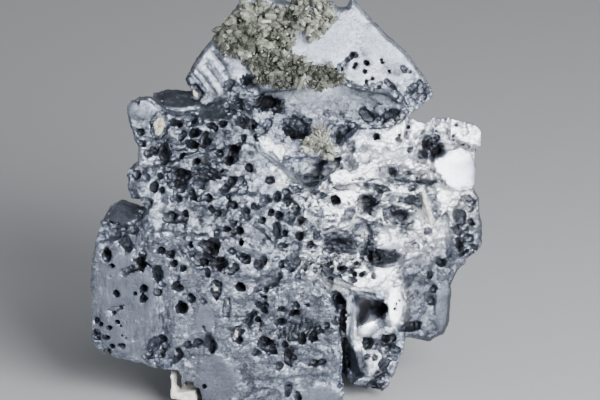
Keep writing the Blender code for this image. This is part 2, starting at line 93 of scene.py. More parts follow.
# The grid's places near the surface: their indices and their points (mm)
Band = namedtuple("Band", "grid places points")


# Places in the front view

def seen_start(column, row):
    """The point of the view plane (mm) at a column and row."""
    return Vector(((column - MIDDLE_COLUMN) * STEP, 0, 0)) + VIEW_UP * ((FLOOR_ROW - row) * STEP)


def columns_of(points):
    return MIDDLE_COLUMN + points[:, 0] / STEP


def rows_of(points):
    return FLOOR_ROW - (points[:, 1] * VIEW_UP.y + points[:, 2] * VIEW_UP.z) / STEP


def facing(lean, turn):
    """The outward normal of a front face that leans back and turns right (degrees)."""
    lean, turn = math.radians(lean), math.radians(turn)
    return Vector((math.sin(turn) * math.cos(lean), -math.cos(turn) * math.cos(lean), math.sin(lean)))


def solid_tree(*objects):
    """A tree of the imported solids' faces in millimetres."""
    points, faces = [], []
    for obj in objects:
        first = len(points)
        points += [vert.co / MM for vert in obj.data.vertices]
        faces += [[first + k for k in face.vertices] for face in obj.data.polygons]
    return BVHTree.FromPolygons(points, faces)


def spot_on(tree, column, row):
    """The point and outward normal of the solid that the front view shows at a column and row."""
    start = seen_start(column, row) - VIEW_AWAY * 200
    spot, normal = tree.ray_cast(start, VIEW_AWAY)[:2]
    if spot is not None and normal.dot(VIEW_AWAY) > 0:
        normal = -normal
    return spot, normal


def mouth_on(tree, column, row, wide, high):
    """The mouth and outward normal of a pit, from the faces on a ring of this size round it."""
    ring = []
    for k in range(8):
        angle = k * math.pi / 4
        spot, normal = spot_on(tree, column + wide * math.cos(angle), row + high * math.sin(angle))
        if spot is not None:
            ring.append((spot.dot(VIEW_AWAY), normal))
    if len(ring) < 5:
        return None, None
    ring.sort(key=lambda item: item[0])
    near = ring[:5]
    start = seen_start(column, row)
    depth = near[2][0] - start.dot(VIEW_AWAY)
    normal = sum((item[1] for item in near), Vector()).normalized()
    return start + VIEW_AWAY * depth, normal


def inside(column, row, outline):
    """Whether a place of the front view lies inside an outline."""
    within = False
    for (c1, r1), (c2, r2) in zip(outline, outline[1:] + outline[:1]):
        if (r1 > row) != (r2 > row) and column < c1 + (row - r1) * (c2 - c1) / (r2 - r1):
            within = not within
    return within


# Grids of distances

def grid_of(obj, voxel):
    """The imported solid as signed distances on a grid."""
    mesh = obj.data
    mesh.calc_loop_triangles()
    points = np.empty(len(mesh.vertices) * 3, np.float32)
    mesh.vertices.foreach_get("co", points)
    corners = np.empty(len(mesh.loop_triangles) * 3, np.int32)
    mesh.loop_triangles.foreach_get("vertices", corners)
    volume = openvdb.FloatGrid.createLevelSetFromPolygons(
        points.reshape(-1, 3) / MM, triangles=corners.reshape(-1, 3).astype(np.uint32),
        transform=openvdb.createLinearTransform(voxelSize=voxel), exBandWidth=OUTER_BAND,
        inBandWidth=INNER_BAND)
    low, high = volume.evalActiveVoxelBoundingBox()
    distance = np.empty([high[axis] - low[axis] + 1 for axis in range(3)], np.float32)
    volume.copyToArray(distance, ijk=low)
    return Grid(distance, np.zeros_like(distance), np.array(low), voxel)


def near_surface(grid):
    places = np.nonzero((grid.distance < OUTER_BAND * grid.voxel * 0.99)
                        & (grid.distance > -INNER_BAND * grid.voxel * 0.99))
    points = np.stack([(places[axis] + grid.low[axis]) * grid.voxel for axis in range(3)], axis=1)
    return Band(grid, places, points.astype(np.float32))


def local_box(grid, centre, reach):
    """The part of a grid round a point: its slices, and the way from the point along each axis."""
    slices, away = [], []
    for axis in range(3):
        first = max(int((centre[axis] - reach) / grid.voxel) - grid.low[axis], 0)
        last = min(int((centre[axis] + reach) / grid.voxel) + 2 - grid.low[axis],
                   grid.distance.shape[axis])
        line = (np.arange(first, last) + grid.low[axis]) * grid.voxel - centre[axis]
        slices.append(slice(first, max(last, first)))
        away.append(line.astype(np.float32).reshape([-1 if k == axis else 1 for k in range(3)]))
    return tuple(slices), away


def along(away, direction):
    return away[0] * direction[0] + away[1] * direction[1] + away[2] * direction[2]


def sampled(values, grid, points):
    """The values of a grid at points, between its places."""
    scaled = points / grid.voxel - grid.low
    top = np.array(values.shape) - 2
    cell = np.clip(np.floor(scaled).astype(np.int32), 0, top)
    share = np.clip(scaled - cell, 0, 1).astype(np.float32)
    total = np.zeros(len(points), np.float32)
    for corner in range(8):
        offset = ((corner >> 2) & 1, (corner >> 1) & 1, corner & 1)
        weight = np.ones(len(points), np.float32)
        for axis in range(3):
            weight *= share[:, axis] if offset[axis] else 1 - share[:, axis]
        total += weight * values[tuple((cell + offset).T)]
    return total


def blurred(values, reach):
    """A box blur of a grid's values, reach places to each side."""
    for axis in range(3):
        summed = np.cumsum(np.moveaxis(values, axis, 0), axis=0, dtype=np.float32)
        edged = np.concatenate([np.zeros((1, *summed.shape[1:]), np.float32), summed])
        count = summed.shape[0]
        last = np.minimum(np.arange(count) + reach + 1, count)
        first = np.maximum(np.arange(count) - reach, 0)
        spread = (edged[last] - edged[first]) / (last - first).astype(np.float32)[:, None, None]
        values = np.moveaxis(spread, 0, axis)
    return values


# Noises

def soft_noise(band, size, seed):
    """Soft noise from 0 to 1 at a band's places, with lumps of this size along X, Y and Z (mm)."""
    spans = []
    for axis in range(3):
        line = (band.grid.low[axis] + np.arange(band.grid.distance.shape[axis])) * band.grid.voxel
        line = line / size[axis]
        cell = np.floor(line).astype(np.int32)
        share = (line - cell).astype(np.float32)
        spans.append((cell - cell[0], share * share * (3 - 2 * share)))
    counts = [cell[-1] + 2 for cell, share in spans]
    table = np.random.default_rng(seed).random(counts, dtype=np.float32)
    cell, share = spans[0]
    share = share[:, None, None]
    table = table[cell] * (1 - share) + table[cell + 1] * share
    cell, share = spans[1]
    share = share[None, :, None]
    table = table[:, cell] * (1 - share) + table[:, cell + 1] * share
    cell, share = spans[2]
    x, y, z = band.places
    low, share = cell[z], share[z]
    return table[x, y, low] * (1 - share) + table[x, y, low + 1] * share


def layered_noise(band, size, seed, layers=3):
    total = np.zeros(len(band.points), np.float32)
    weight, whole = 1.0, 0.0
    for layer in range(layers):
        total += weight * soft_noise(band, [length / 2 ** layer for length in size], seed + layer)
        whole += weight
        weight /= 2
    return total / whole


def facets(points, size, seed):
    """Crumpled heights from 0 to 1: flat facets between the random heights of a turned lattice."""
    table = np.random.default_rng(seed).random((LATTICE, LATTICE, LATTICE), dtype=np.float32)
    unit = np.eye(3, dtype=np.int32)
    height = np.empty(len(points), np.float32)
    for first in range(0, len(points), 100000):
        scaled = points[first:first + 100000] @ TURNED / np.float32(size)
        cell = np.floor(scaled).astype(np.int32)
        share = scaled - cell
        most, least = share.max(axis=1), share.min(axis=1)
        middle = share.sum(axis=1) - most - least
        corners = (cell, cell + unit[share.argmax(axis=1)], cell + 1 - unit[share.argmin(axis=1)],
                   cell + 1)
        weights = (1 - most, most - middle, middle - least, least)
        total = np.zeros(len(scaled), np.float32)
        for corner, weight in zip(corners, weights):
            total += weight * table[tuple((corner % LATTICE).T)]
        height[first:first + 100000] = total
    return height


def grooves(across, seed):
    """Heights from 0 to 1 of straight grooves, one random height for each whole number across."""
    table = np.random.default_rng(seed).random(512).astype(np.float32)
    cell = np.floor(across).astype(np.int32)
    share = across - cell
    return table[cell % 512] * (1 - share) + table[(cell + 1) % 512] * share


def stepped(values, step):
    """Values cut into flat steps."""
    return np.floor(values / step) * step


def spots_mask(columns, rows, spots):
    """A soft mask, 1 at the middle of any spot (column, row, half width, half height), 0 outside."""
    mask = np.zeros(len(columns), np.float32)
    for column, row, wide, high in spots:
        reach = ((columns - column) / wide) ** 2 + ((rows - row) / high) ** 2
        mask = np.maximum(mask, np.clip(2 * (1 - reach), 0, 1))
    return mask


def graded_mask(columns, rows, spots):
    """A soft mask of spots that each end with their own strength."""
    mask = np.zeros(len(columns), np.float32)
    for *spot, much in spots:
        mask = np.maximum(mask, much * spots_mask(columns, rows, [spot]))
    return mask


def outline_mask(columns, rows, outline):
    """1 at the places that lie inside an outline of the front view, 0 elsewhere."""
    within = np.zeros(len(columns), bool)
    for (c1, r1), (c2, r2) in zip(outline, outline[1:] + outline[:1]):
        if r1 != r2:
            crossed = (r1 > rows) != (r2 > rows)
            within ^= crossed & (columns < c1 + (rows - r1) * (c2 - c1) / (r2 - r1))
    return within.astype(np.float32)


def patch_mask(columns, rows, patches):
    """How far places lie in soft-edged patches, each with its strength and outline."""
    mask = np.zeros(len(columns), np.float32)
    for much, outline in patches:
        low, high = np.min(outline, axis=0) - PATCH_EDGE, np.max(outline, axis=0) + PATCH_EDGE
        near = np.nonzero((columns > low[0]) & (columns < high[0]) & (rows > low[1]) & (rows < high[1]))[0]
        share = 0
        for k in range(EDGE_SAMPLES):
            angle, reach = k * 2.4, PATCH_EDGE * math.sqrt((k + 0.5) / EDGE_SAMPLES)
            share = share + outline_mask(columns[near] + reach * math.cos(angle),
                                         rows[near] + reach * math.sin(angle), outline)
        mask[near] = np.maximum(mask[near], much * share / EDGE_SAMPLES)
    return mask


# The galena's fine surface

# Smooth, unbroken areas of the front: column, row, half width and half height
SMOOTH_SPOTS = (
    (218, 376, 24, 26), (322, 392, 22, 12), (325, 42, 34, 30), (378, 45, 22, 24), (453, 171, 24, 22),
    (130, 300, 34, 60), (206, 318, 12, 18), (122, 214, 26, 14), (146, 112, 16, 10),
    (370, 308, 20, 18), (354, 360, 10, 18), (444, 310, 12, 30), (350, 318, 8, 24),
    (394, 304, 10, 24), (366, 326, 12, 12), (182, 102, 28, 11),
)
# Crumpled areas, where small facets stand every way
CRUMPLED_SPOTS = (
    (215, 235, 90, 48), (290, 235, 60, 45), (240, 190, 80, 38), (200, 150, 60, 40), (270, 310, 80, 56),
    (385, 168, 50, 16), (375, 222, 40, 34),
    (300, 355, 40, 40), (180, 355, 40, 16), (240, 145, 24, 24), (240, 100, 26, 22), (310, 190, 34, 26),
    (428, 145, 20, 20), (250, 395, 60, 14), (380, 350, 24, 40), (465, 225, 16, 40),
)
# The bright terraces and the top plate; both get a painted reflection in their colour, the top plate a faint
# one
BRIGHT_SPOTS = ((384, 200, 100, 66), (350, 262, 56, 34), (396, 300, 14, 30), (430, 140, 60, 30))
TOP_SPOTS = ((300, 50, 150, 70),)
# Areas where the bright or grey surface is broken up by ragged patches of painted shade: column, row,
# half width, half height and how much
RAGGED_SHADE_SPOTS = (
    (375, 215, 66, 62, 0.75), (400, 150, 60, 40, 0.3), (345, 255, 50, 34, 1.0), (310, 205, 40, 44, 1.0),
    (215, 235, 90, 50, 0.9), (200, 150, 66, 44, 0.85), (285, 320, 70, 50, 0.9), (250, 345, 50, 30, 0.7),
    (375, 350, 26, 40, 0.9), (466, 224, 22, 40, 0.8), (395, 80, 40, 34, 0.75), (240, 108, 30, 24, 0.9),
    (170, 350, 34, 16, 0.6), (130, 250, 40, 30, 0.6), (425, 270, 20, 30, 0.6), (300, 128, 44, 24, 0.7),
    (365, 110, 50, 16, 0.7), (290, 390, 50, 14, 0.6),
)
# Where the surface is cut into lengthwise lines
STRIATED_SPOTS = ((152, 315, 26, 38), (140, 240, 22, 20))
STREAKED_SPOTS = STRIATED_SPOTS + ((135, 300, 44, 60), (285, 305, 30, 14), (365, 310, 22, 22))
GROOVED_SPOTS = ((212, 84, 22, 18), (218, 66, 14, 14))
LINED_SPOTS = ((378, 112, 24, 12), (338, 124, 14, 12))

# Flat faces cut into the front: how deep (mm), how far each face leans back and turns right
# (degrees), and its outline
FLAT_CUTS = (
    (0.8, -12, 34, ((353, 292), (372, 294), (386, 304), (389, 313), (375, 318), (356, 335),
                         (351, 322))),
    (0.8, -12, -48, ((346, 342), (358, 350), (362, 372), (353, 376), (346, 362))),
    (1.0, 18, 13, ((346, 300), (354, 302), (350, 320), (354, 334), (367, 343), (362, 349), (346, 342),
                   (343, 330))),
    (0.3, 18, 13, ((354, 333), (369, 316), (378, 314), (376, 324), (362, 336))),
    (0.3, 18, 13, ((362, 347), (384, 350), (393, 357), (390, 371), (370, 369), (364, 357))),
    (0.3, 18, 13, ((387, 290), (396, 280), (403, 288), (405, 301), (401, 317), (393, 329), (384, 326),
                   (383, 311))),
    (0.5, 38, -50, ((105, 219), (119, 202), (152, 200), (136, 229))),
    (0.8, -24, 16, ((256, 284), (262, 272), (278, 268), (281, 276), (270, 286), (258, 290))),
    (0.7, -20, 30, ((203, 330), (208, 328), (216, 342), (214, 348), (206, 342))),
    (1.2, -34, 6, ((385, 196), (398, 197), (410, 204), (416, 213), (402, 221), (390, 214),
                        (384, 205))),
    (1.2, -34, 0, ((362, 249), (374, 246), (392, 249), (401, 254), (398, 262), (380, 266),
                        (364, 262))),
    (1.1, -32, 0, ((328, 234), (344, 233), (357, 238), (352, 246), (336, 246), (329, 241))),
    (1.1, -32, 8, ((384, 168), (400, 170), (420, 172), (433, 179), (428, 185), (412, 182),
                        (394, 177))),
    (1.0, -34, 14, ((398, 262), (412, 258), (428, 254), (425, 262), (410, 270), (400, 274))),
    (0.9, -28, 20, ((352, 150), (346, 158), (334, 166), (328, 160), (336, 150), (345, 144))),
    (0.6, -20, -8, ((286, 118), (298, 115), (309, 120), (306, 136), (292, 138), (284, 130))),
    (0.6, -24, 4, ((292, 155), (310, 152), (337, 156), (340, 168), (322, 175), (300, 170))),
)

# Thin cracks of the front, cut in and given painted shade: half width (mm) and the places that each runs
# through
CRACKS = (
    (0.45, ((314, 281), (331, 291), (340, 300), (345, 313), (343, 330), (346, 350), (349, 366),
            (344, 388))),
    (0.28, ((427, 118), (428, 133), (431, 140))),
    (0.28, ((443, 118), (446, 131), (445, 141))),
    (0.2, ((461, 122), (462, 136))),
    (0.35, ((440, 137), (451, 142), (465, 147), (479, 152))),
    (0.22, ((406, 121), (406, 131), (402, 138))),
    (0.3, ((414, 160), (424, 166), (436, 177), (447, 190))),
    (0.3, ((384, 168), (394, 178), (408, 184))),
    (0.25, ((376, 198), (392, 196), (407, 198), (419, 204))),
    (0.25, ((306, 206), (316, 194), (330, 189))),
    (0.3, ((357, 219), (372, 229), (392, 233), (410, 236), (424, 241))),
    (0.25, ((384, 252), (398, 246), (414, 246), (429, 249))),
    (0.22, ((341, 166), (352, 158), (366, 156))),
    (0.25, ((236, 98), (228, 110), (238, 118), (250, 122))),
    (0.3, ((243, 120), (252, 128), (262, 131))),
    (0.25, ((268, 124), (264, 132), (257, 134))),
    (0.2, ((335, 73), (343, 66), (355, 57))),
    (0.2, ((342, 81), (352, 90), (362, 93), (378, 86))),
    (0.22, ((384, 83), (392, 92), (398, 102), (407, 112))),
    (0.2, ((400, 70), (406, 76))),
    (0.3, ((361, 113), (372, 122), (392, 124), (404, 114))),
    (0.3, ((330, 131), (343, 131), (352, 126))),
    (0.25, ((104, 233), (113, 222), (137, 229))),
    (0.2, ((137, 228), (146, 212), (153, 201))),
    (0.2, ((126, 270), (138, 264), (150, 254))),
    (0.2, ((205, 324), (213, 337), (216, 346))),
    (0.2, ((262, 336), (274, 350))),
    (0.2, ((278, 330), (292, 322), (308, 324))),
)

# Patches of the front with painted light: a painted reflection in the first table, painted shade in the
# second. How bright or how dark each is (0 to 1, and black from there to 1.5), and its outline
PAINTED_REFLECTION_PATCHES = (
    (1.0, ((347, 300), (356, 303), (355, 320), (356, 333), (366, 341), (362, 350), (346, 343),
           (343, 331), (346, 314))),
    (1.0, ((355, 334), (371, 317), (377, 315), (376, 321), (361, 336))),
    (1.0, ((388, 290), (396, 281), (402, 288), (404, 300), (401, 316), (393, 328), (385, 326),
           (384, 312), (390, 302))),
    (0.6, ((257, 134), (266, 134), (277, 143), (288, 146), (289, 154), (283, 165), (276, 160),
           (261, 149))),
    (0.1, ((196, 78), (203, 62), (228, 70), (246, 86), (226, 100), (216, 101), (204, 84))),
    (0.6, ((364, 348), (384, 350), (392, 358), (388, 370), (370, 368), (366, 356))),
    (0.9, ((286, 200), (303, 204), (296, 213), (288, 207))),
    (0.9, ((305, 232), (316, 233), (320, 253), (308, 244))),
    (0.7, ((270, 168), (290, 172), (300, 184), (288, 190), (272, 182))),
)
PAINTED_SHADE_PATCHES = (
    (1.5, ((355, 294), (362, 293), (384, 304), (386, 313), (380, 319), (377, 313), (369, 313),
           (358, 328), (356, 316))),
    (1.0, ((330, 290), (345, 293), (345, 304), (344, 314), (342, 328), (341, 343), (346, 352),
           (347, 372), (344, 390), (342, 372), (341, 350), (338, 330), (337, 312), (331, 299))),
    (0.8, ((346, 344), (361, 350), (370, 373), (353, 375), (347, 366))),
    (0.8, ((348, 378), (372, 378), (386, 386), (380, 394), (350, 392))),
    (0.7, ((366, 337), (376, 336), (392, 334), (398, 342), (392, 350), (380, 344), (368, 346))),
    (0.7, ((420, 137), (430, 135), (441, 143), (444, 152), (436, 160), (424, 159), (416, 154),
           (421, 147))),
    (0.75, ((384, 167), (395, 168), (400, 175), (412, 180), (434, 179), (438, 185), (425, 187),
            (405, 184), (395, 182), (388, 176))),
    (0.6, ((361, 181), (383, 183), (392, 186), (380, 188), (363, 186))),
    (0.75, ((360, 193), (378, 195), (380, 205), (373, 220), (363, 212))),
    (0.85, ((385, 204), (394, 205), (406, 211), (409, 218), (398, 222), (389, 214))),
    (0.7, ((325, 233), (334, 234), (358, 238), (355, 246), (336, 244))),
    (0.75, ((359, 251), (370, 246), (394, 250), (401, 254), (394, 263), (371, 265))),
    (0.65, ((389, 274), (406, 272), (424, 268), (424, 277), (403, 282))),
    (0.5, ((416, 190), (423, 192), (434, 222), (442, 223), (435, 202), (427, 187))),
    (0.7, ((453, 210), (461, 208), (465, 218), (458, 227), (452, 222))),
    (0.9, ((456, 241), (462, 241), (464, 255), (457, 254))),
    (0.9, ((335, 134), (353, 125), (351, 133), (337, 142))),
    (0.75, ((334, 156), (322, 173), (309, 166), (320, 160))),
    (0.5, ((298, 91), (333, 90), (378, 95), (366, 102), (341, 97), (306, 96))),
    (0.75, ((361, 114), (370, 114), (394, 121), (386, 126), (372, 122))),
    (0.5, ((404, 90), (419, 83), (430, 94), (425, 98), (413, 105))),
    (0.45, ((386, 68), (399, 63), (406, 69), (399, 81), (389, 76))),
    (0.7, ((255, 98), (265, 93), (285, 98), (286, 106), (266, 111), (257, 107))),
    (0.95, ((239, 120), (252, 120), (255, 131), (249, 129))),
    (0.6, ((285, 121), (309, 130), (303, 141), (279, 141))),
    (0.9, ((242, 77), (259, 84), (254, 92), (245, 91))),
    (0.7, ((164, 143), (173, 144), (169, 162), (164, 156))),
    (0.5, ((175, 172), (205, 168), (221, 173), (220, 183), (180, 183))),
    (0.6, ((205, 238), (223, 239), (230, 260), (223, 273), (208, 270), (202, 254))),
    (0.45, ((257, 273), (281, 262), (273, 280), (259, 284))),
    (0.45, ((275, 329), (319, 317), (316, 339), (276, 343))),
    (0.7, ((129, 270), (151, 257), (149, 268), (131, 275))),
    (0.4, ((105, 219), (120, 201), (153, 202), (137, 230))),
    (0.55, ((154, 96), (181, 90), (185, 80), (199, 82), (213, 99), (203, 110), (187, 115), (166, 110))),
    (0.6, ((180, 84), (187, 71), (205, 46), (217, 30), (229, 14), (241, -2), (249, -2), (236, 13),
           (222, 32), (208, 51), (193, 75), (190, 84))),
    (0.5, ((178, 94), (184, 77), (193, 62), (203, 80), (214, 101), (203, 106), (190, 104))),
    (0.45, ((203, 62), (207, 62), (232, 88), (228, 91))),
    (0.45, ((213, 56), (218, 56), (227, 62), (240, 74), (235, 77), (222, 67))),
    (0.75, ((284, 347), (292, 346), (291, 364), (285, 364))),
    (0.4, ((200, 326), (205, 325), (217, 343), (211, 347), (200, 333))),
    (0.4, ((209, 302), (213, 303), (212, 315), (208, 314))),
)
# Areas given painted shade: column, row, half width, half height and how dark
PAINTED_SHADE_SPOTS = (
    (432, 300, 40, 56, 0.66), (466, 224, 22, 36, 0.45), (352, 108, 50, 18, 0.65), (290, 106, 44, 18, 0.6),
    (392, 72, 12, 9, 0.3), (200, 158, 66, 40, 0.25), (300, 330, 50, 30, 0.15), (110, 215, 14, 12, 0.2),
    (228, 112, 30, 28, 0.5), (370, 360, 20, 30, 0.2), (330, 262, 18, 18, 0.2), (300, 128, 36, 16, 0.5),
    (228, 155, 36, 40, 0.5), (222, 380, 50, 30, 0.35), (225, 225, 60, 30, 0.15),
)

# Ragged hollows of the front: column, row, half width, half height, how far each is turned
# clockwise (degrees) and its depth (mm)
HOLLOWS = (
    (143, 264, 9, 7, -20, 3.0), (132, 270, 10, 4, -30, 1.6), (212, 249, 8, 7, 0, 4.5),
    (220, 264, 10, 8, 20, 3.2), (190, 256, 18, 11, 10, 0.9), (116, 309, 12, 3.5, -25, 0.9),
    (297, 330, 20, 7, -12, 2.6), (268, 343, 8, 5, 20, 2.6), (250, 322, 14, 6, 0, 0.9),
    (275, 290, 2.5, 10, 0, 0.8), (184, 176, 10, 8, 0, 2.6), (208, 177, 14, 6, -8, 2.2),
    (230, 156, 9, 9, 0, 1.8), (240, 186, 7, 5, 0, 1.0), (168, 153, 4, 9, 8, 2.4),
    (196, 160, 22, 7, 10, 0.8), (248, 126, 10, 5, 35, 3.6), (270, 106, 15, 7, 10, 3.6),
    (252, 82, 8, 5, 20, 2.0), (297, 128, 10, 10, 0, 2.4), (316, 165, 22, 8, 0, 2.4),
    (336, 138, 5, 7, 0, 2.6), (391, 173, 9, 5, 10, 3.2),
    (418, 177, 13, 6, 8, 2.4), (351, 163, 5, 6, 40, 2.2), (365, 202, 6, 10, 8, 3.4),
    (396, 213, 11, 7, 10, 3.4), (341, 240, 14, 5, 4, 2.0), (381, 257, 19, 7, 4, 2.8),
    (364, 241, 2.5, 7, 0, 2.6), (412, 267, 16, 4, -8, 2.4), (408, 327, 8, 4, 0, 2.6),
    (334, 293, 20, 5, 28, 3.4), (344, 318, 5, 26, 0, 3.4), (342, 360, 3, 30, 2, 2.6),
    (452, 143, 8, 3, 8, 1.6), (469, 149, 10, 2, 12, 2.0), (348, 95, 32, 5, 6, 0.9),
    (415, 94, 10, 9, 30, 1.2), (303, 205, 3, 9, 30, 1.4),
    (372, 188, 12, 3, 10, 2.0), (345, 222, 3, 10, 12, 1.6), (320, 250, 9, 4, 20, 1.4),
    (430, 205, 6, 18, -14, 1.6), (388, 348, 9, 4, 14, 1.8), (368, 341, 4, 6, 0, 2.6),
    (205, 214, 18, 6, -6, 0.8), (240, 218, 16, 10, 0, 0.8), (262, 236, 16, 8, 20, 0.8),
    (290, 250, 16, 8, -10, 1.0), (181, 217, 9, 6, 10, 1.6), (306, 263, 22, 7, 12, 1.2),
)

# Pits of the front: column, row, width and height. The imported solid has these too
PITS = (
    (118, 235, 8, 7), (112, 256, 8, 12), (117, 265, 7, 7), (144, 264, 13, 11), (160, 274, 8, 14),
    (147, 287, 8, 8), (147, 297, 7, 7), (131, 245, 6, 9), (120, 292, 8, 8), (184, 307, 10, 10),
    (113, 326, 6, 6), (100, 333, 5, 8), (155, 345, 8, 14), (164, 352, 5, 5), (164, 339, 6, 5),
    (125, 343, 7, 6), (177, 262, 6, 6), (165, 250, 7, 6), (213, 248, 13, 12), (206, 262, 8, 8),
    (220, 262, 14, 11), (245, 258, 9, 8), (242, 285, 10, 9), (283, 262, 6, 6), (292, 263, 6, 6),
    (303, 266, 6, 6), (313, 268, 8, 8), (250, 320, 6, 5), (266, 341, 10, 8), (302, 338, 7, 6),
    (314, 336, 7, 7), (285, 343, 5, 5), (288, 354, 5, 13), (313, 361, 6, 5), (264, 308, 6, 6),
    (293, 311, 8, 6), (280, 320, 9, 6), (180, 285, 7, 6), (193, 297, 4, 6), (175, 357, 6, 5),
    (206, 384, 6, 6), (298, 392, 6, 6), (288, 386, 5, 5), (176, 216, 7, 7), (189, 213, 6, 6),
    (213, 198, 6, 6), (241, 230, 6, 6), (219, 232, 6, 6), (272, 212, 5, 5), (279, 216, 7, 7),
    (291, 219, 6, 6), (300, 221, 7, 7), (301, 236, 7, 7), (316, 234, 6, 6), (325, 248, 7, 7),
    (284, 232, 6, 6), (262, 204, 6, 6), (227, 188, 7, 6), (233, 181, 6, 6), (288, 198, 6, 9),
    (296, 190, 6, 6), (270, 181, 6, 5), (316, 214, 6, 6), (181, 184, 14, 9), (195, 194, 7, 6),
    (296, 206, 6, 6), (145, 134, 5, 5), (146, 145, 6, 6), (197, 124, 6, 7), (197, 135, 9, 8),
    (195, 146, 9, 7), (207, 144, 7, 9), (158, 152, 7, 7), (167, 156, 6, 16), (235, 151, 9, 8),
    (201, 163, 6, 6), (230, 161, 9, 9), (181, 175, 13, 9), (182, 126, 5, 5), (221, 155, 6, 6),
    (142, 106, 4, 4), (268, 105, 22, 13), (252, 126, 10, 11), (240, 101, 6, 5), (390, 116, 12, 5),
    (351, 58, 4, 4), (365, 66, 6, 5), (412, 90, 11, 7), (427, 145, 16, 12), (422, 156, 10, 7),
    (452, 136, 5, 5), (376, 138, 5, 5), (397, 141, 7, 5), (390, 171, 9, 7), (407, 175, 8, 6),
    (411, 189, 10, 7), (366, 201, 13, 9), (399, 217, 14, 8), (363, 241, 5, 12), (340, 267, 7, 7),
    (335, 200, 6, 5), (350, 163, 7, 9), (326, 262, 7, 7), (355, 262, 9, 5), (372, 257, 24, 10),
    (310, 243, 6, 6), (426, 250, 6, 5), (318, 222, 7, 6), (470, 208, 4, 4), (460, 216, 7, 6),
    (470, 222, 4, 4), (459, 247, 6, 13), (471, 249, 5, 4), (412, 327, 15, 7), (441, 262, 6, 5),
    (366, 341, 7, 9), (386, 337, 8, 7), (382, 349, 8, 5), (393, 352, 8, 5), (373, 356, 5, 5),
    (395, 302, 5, 5),
)
# Smaller pits that only the fine surface has
SMALL_PITS = (
    (101, 318, 4, 4), (105, 322, 4, 4), (106, 238, 6, 5), (110, 349, 5, 5), (111, 335, 4, 4),
    (115, 344, 4, 4), (117, 311, 5, 4), (121, 320, 6, 6), (124, 305, 4, 3), (133, 171, 4, 3),
    (140, 176, 5, 5), (151, 155, 5, 5), (151, 353, 6, 6), (160, 357, 3, 3), (169, 218, 4, 4),
    (170, 170, 5, 5), (170, 363, 5, 5), (173, 253, 5, 5), (174, 220, 4, 4), (176, 124, 4, 3),
    (180, 349, 6, 5), (181, 199, 5, 4), (182, 354, 4, 4), (183, 219, 4, 4), (186, 267, 5, 5),
    (191, 126, 5, 5), (192, 383, 5, 5), (197, 116, 5, 5), (200, 341, 6, 6), (207, 139, 4, 7),
    (212, 128, 5, 4), (212, 196, 5, 4), (243, 240, 6, 6), (244, 329, 4, 3), (247, 211, 5, 4),
    (251, 169, 5, 5), (266, 289, 5, 5), (267, 201, 5, 5), (275, 349, 5, 4),
    (277, 196, 5, 4), (281, 307, 5, 4), (296, 196, 6, 5), (306, 262, 5, 5), (312, 257, 6, 5),
    (320, 278, 7, 7), (321, 360, 4, 3), (324, 269, 7, 7), (325, 228, 7, 7), (331, 270, 5, 5),
    (331, 278, 7, 6), (332, 244, 6, 5), (337, 316, 5, 9), (341, 72, 3, 3), (345, 256, 4, 4),
    (351, 145, 3, 3), (352, 268, 6, 5), (354, 67, 3, 3), (362, 225, 4, 4), (362, 272, 5, 4),
    (363, 74, 3, 3), (363, 151, 4, 4), (365, 160, 5, 4), (372, 275, 5, 4), (375, 386, 7, 4),
    (383, 360, 4, 4), (385, 151, 3, 3), (388, 233, 3, 3), (393, 307, 5, 5), (395, 239, 4, 3),
    (398, 136, 3, 3), (398, 299, 3, 3), (405, 138, 3, 3), (411, 239, 7, 4), (416, 178, 7, 6),
    (420, 123, 6, 3), (420, 148, 4, 7), (425, 139, 8, 7), (426, 232, 6, 6), (427, 151, 5, 4),
    (434, 141, 8, 7), (436, 151, 9, 8), (454, 126, 3, 3), (454, 143, 6, 5), (455, 225, 4, 4),
    (458, 233, 4, 4), (461, 222, 5, 5),
)

# Areas of the front with many small pits: column, row, half width, half height, how many, and the
# least and greatest width
PITTED_AREAS = (
    (218, 200, 44, 22, 12, 2, 4), (214, 257, 28, 18, 18, 2.5, 5), (290, 208, 36, 30, 28, 2.5, 5),
    (306, 264, 28, 12, 10, 3, 5), (212, 146, 34, 26, 12, 2, 4), (182, 180, 34, 20, 12, 2, 4.5),
    (288, 330, 50, 34, 18, 2, 4), (115, 336, 20, 22, 7, 2, 3), (424, 148, 18, 13, 26, 1.8, 4),
    (382, 358, 18, 28, 16, 2.5, 5), (465, 225, 12, 26, 14, 2.5, 4.5), (415, 94, 11, 11, 14, 2, 4),
    (375, 78, 26, 16, 8, 1.6, 2.6), (245, 96, 18, 17, 16, 2, 4), (250, 240, 40, 30, 10, 2, 4),
    (378, 225, 44, 34, 22, 1.8, 3.6), (345, 262, 34, 16, 14, 2.5, 5), (140, 265, 40, 40, 6, 2, 3),
    (260, 300, 60, 26, 10, 2, 3.5), (430, 275, 20, 30, 3, 2, 3), (170, 350, 30, 14, 8, 2, 4),
)

# Pits of the faces that the front view doesn't show: the side (x, y, z) each group is seen from,
# and how many it has
HIDDEN_PITS = ((0, 1, 0.2, 150), (1, 0.6, 0.1, 50), (-1, 0.6, 0.1, 50), (0, 0.3, 1, 30))
HIDDEN_ROOM = ((-40, 40), (-16, 18), (6, 90))


def zones(band):
    """Masks of the front's smooth, crumpled, bright, top and plain areas at a band's places."""
    columns, rows = columns_of(band.points), rows_of(band.points)
    front = np.clip((8 - band.points[:, 1]) / 6, 0, 1)
    smooth = spots_mask(columns, rows, SMOOTH_SPOTS) * front
    rough = 1 - smooth
    crumpled = spots_mask(columns, rows, CRUMPLED_SPOTS) * front * rough
    bright = spots_mask(columns, rows, BRIGHT_SPOTS) * front * rough
    top = spots_mask(columns, rows, TOP_SPOTS) * front
    plain = np.clip(1 - crumpled - bright - top, 0, 1) * rough
    return smooth, crumpled, bright, top, plain


def grow(grid):
    """Moves the surface out by about what roughening takes off it."""
    band = near_surface(grid)
    smooth, crumpled, bright, top, plain = zones(band)
    outward = 0.4 * crumpled + 0.28 * bright + 0.2 * plain + 0.1 * smooth + 0.05 * top
    grid.distance[band.places] -= outward


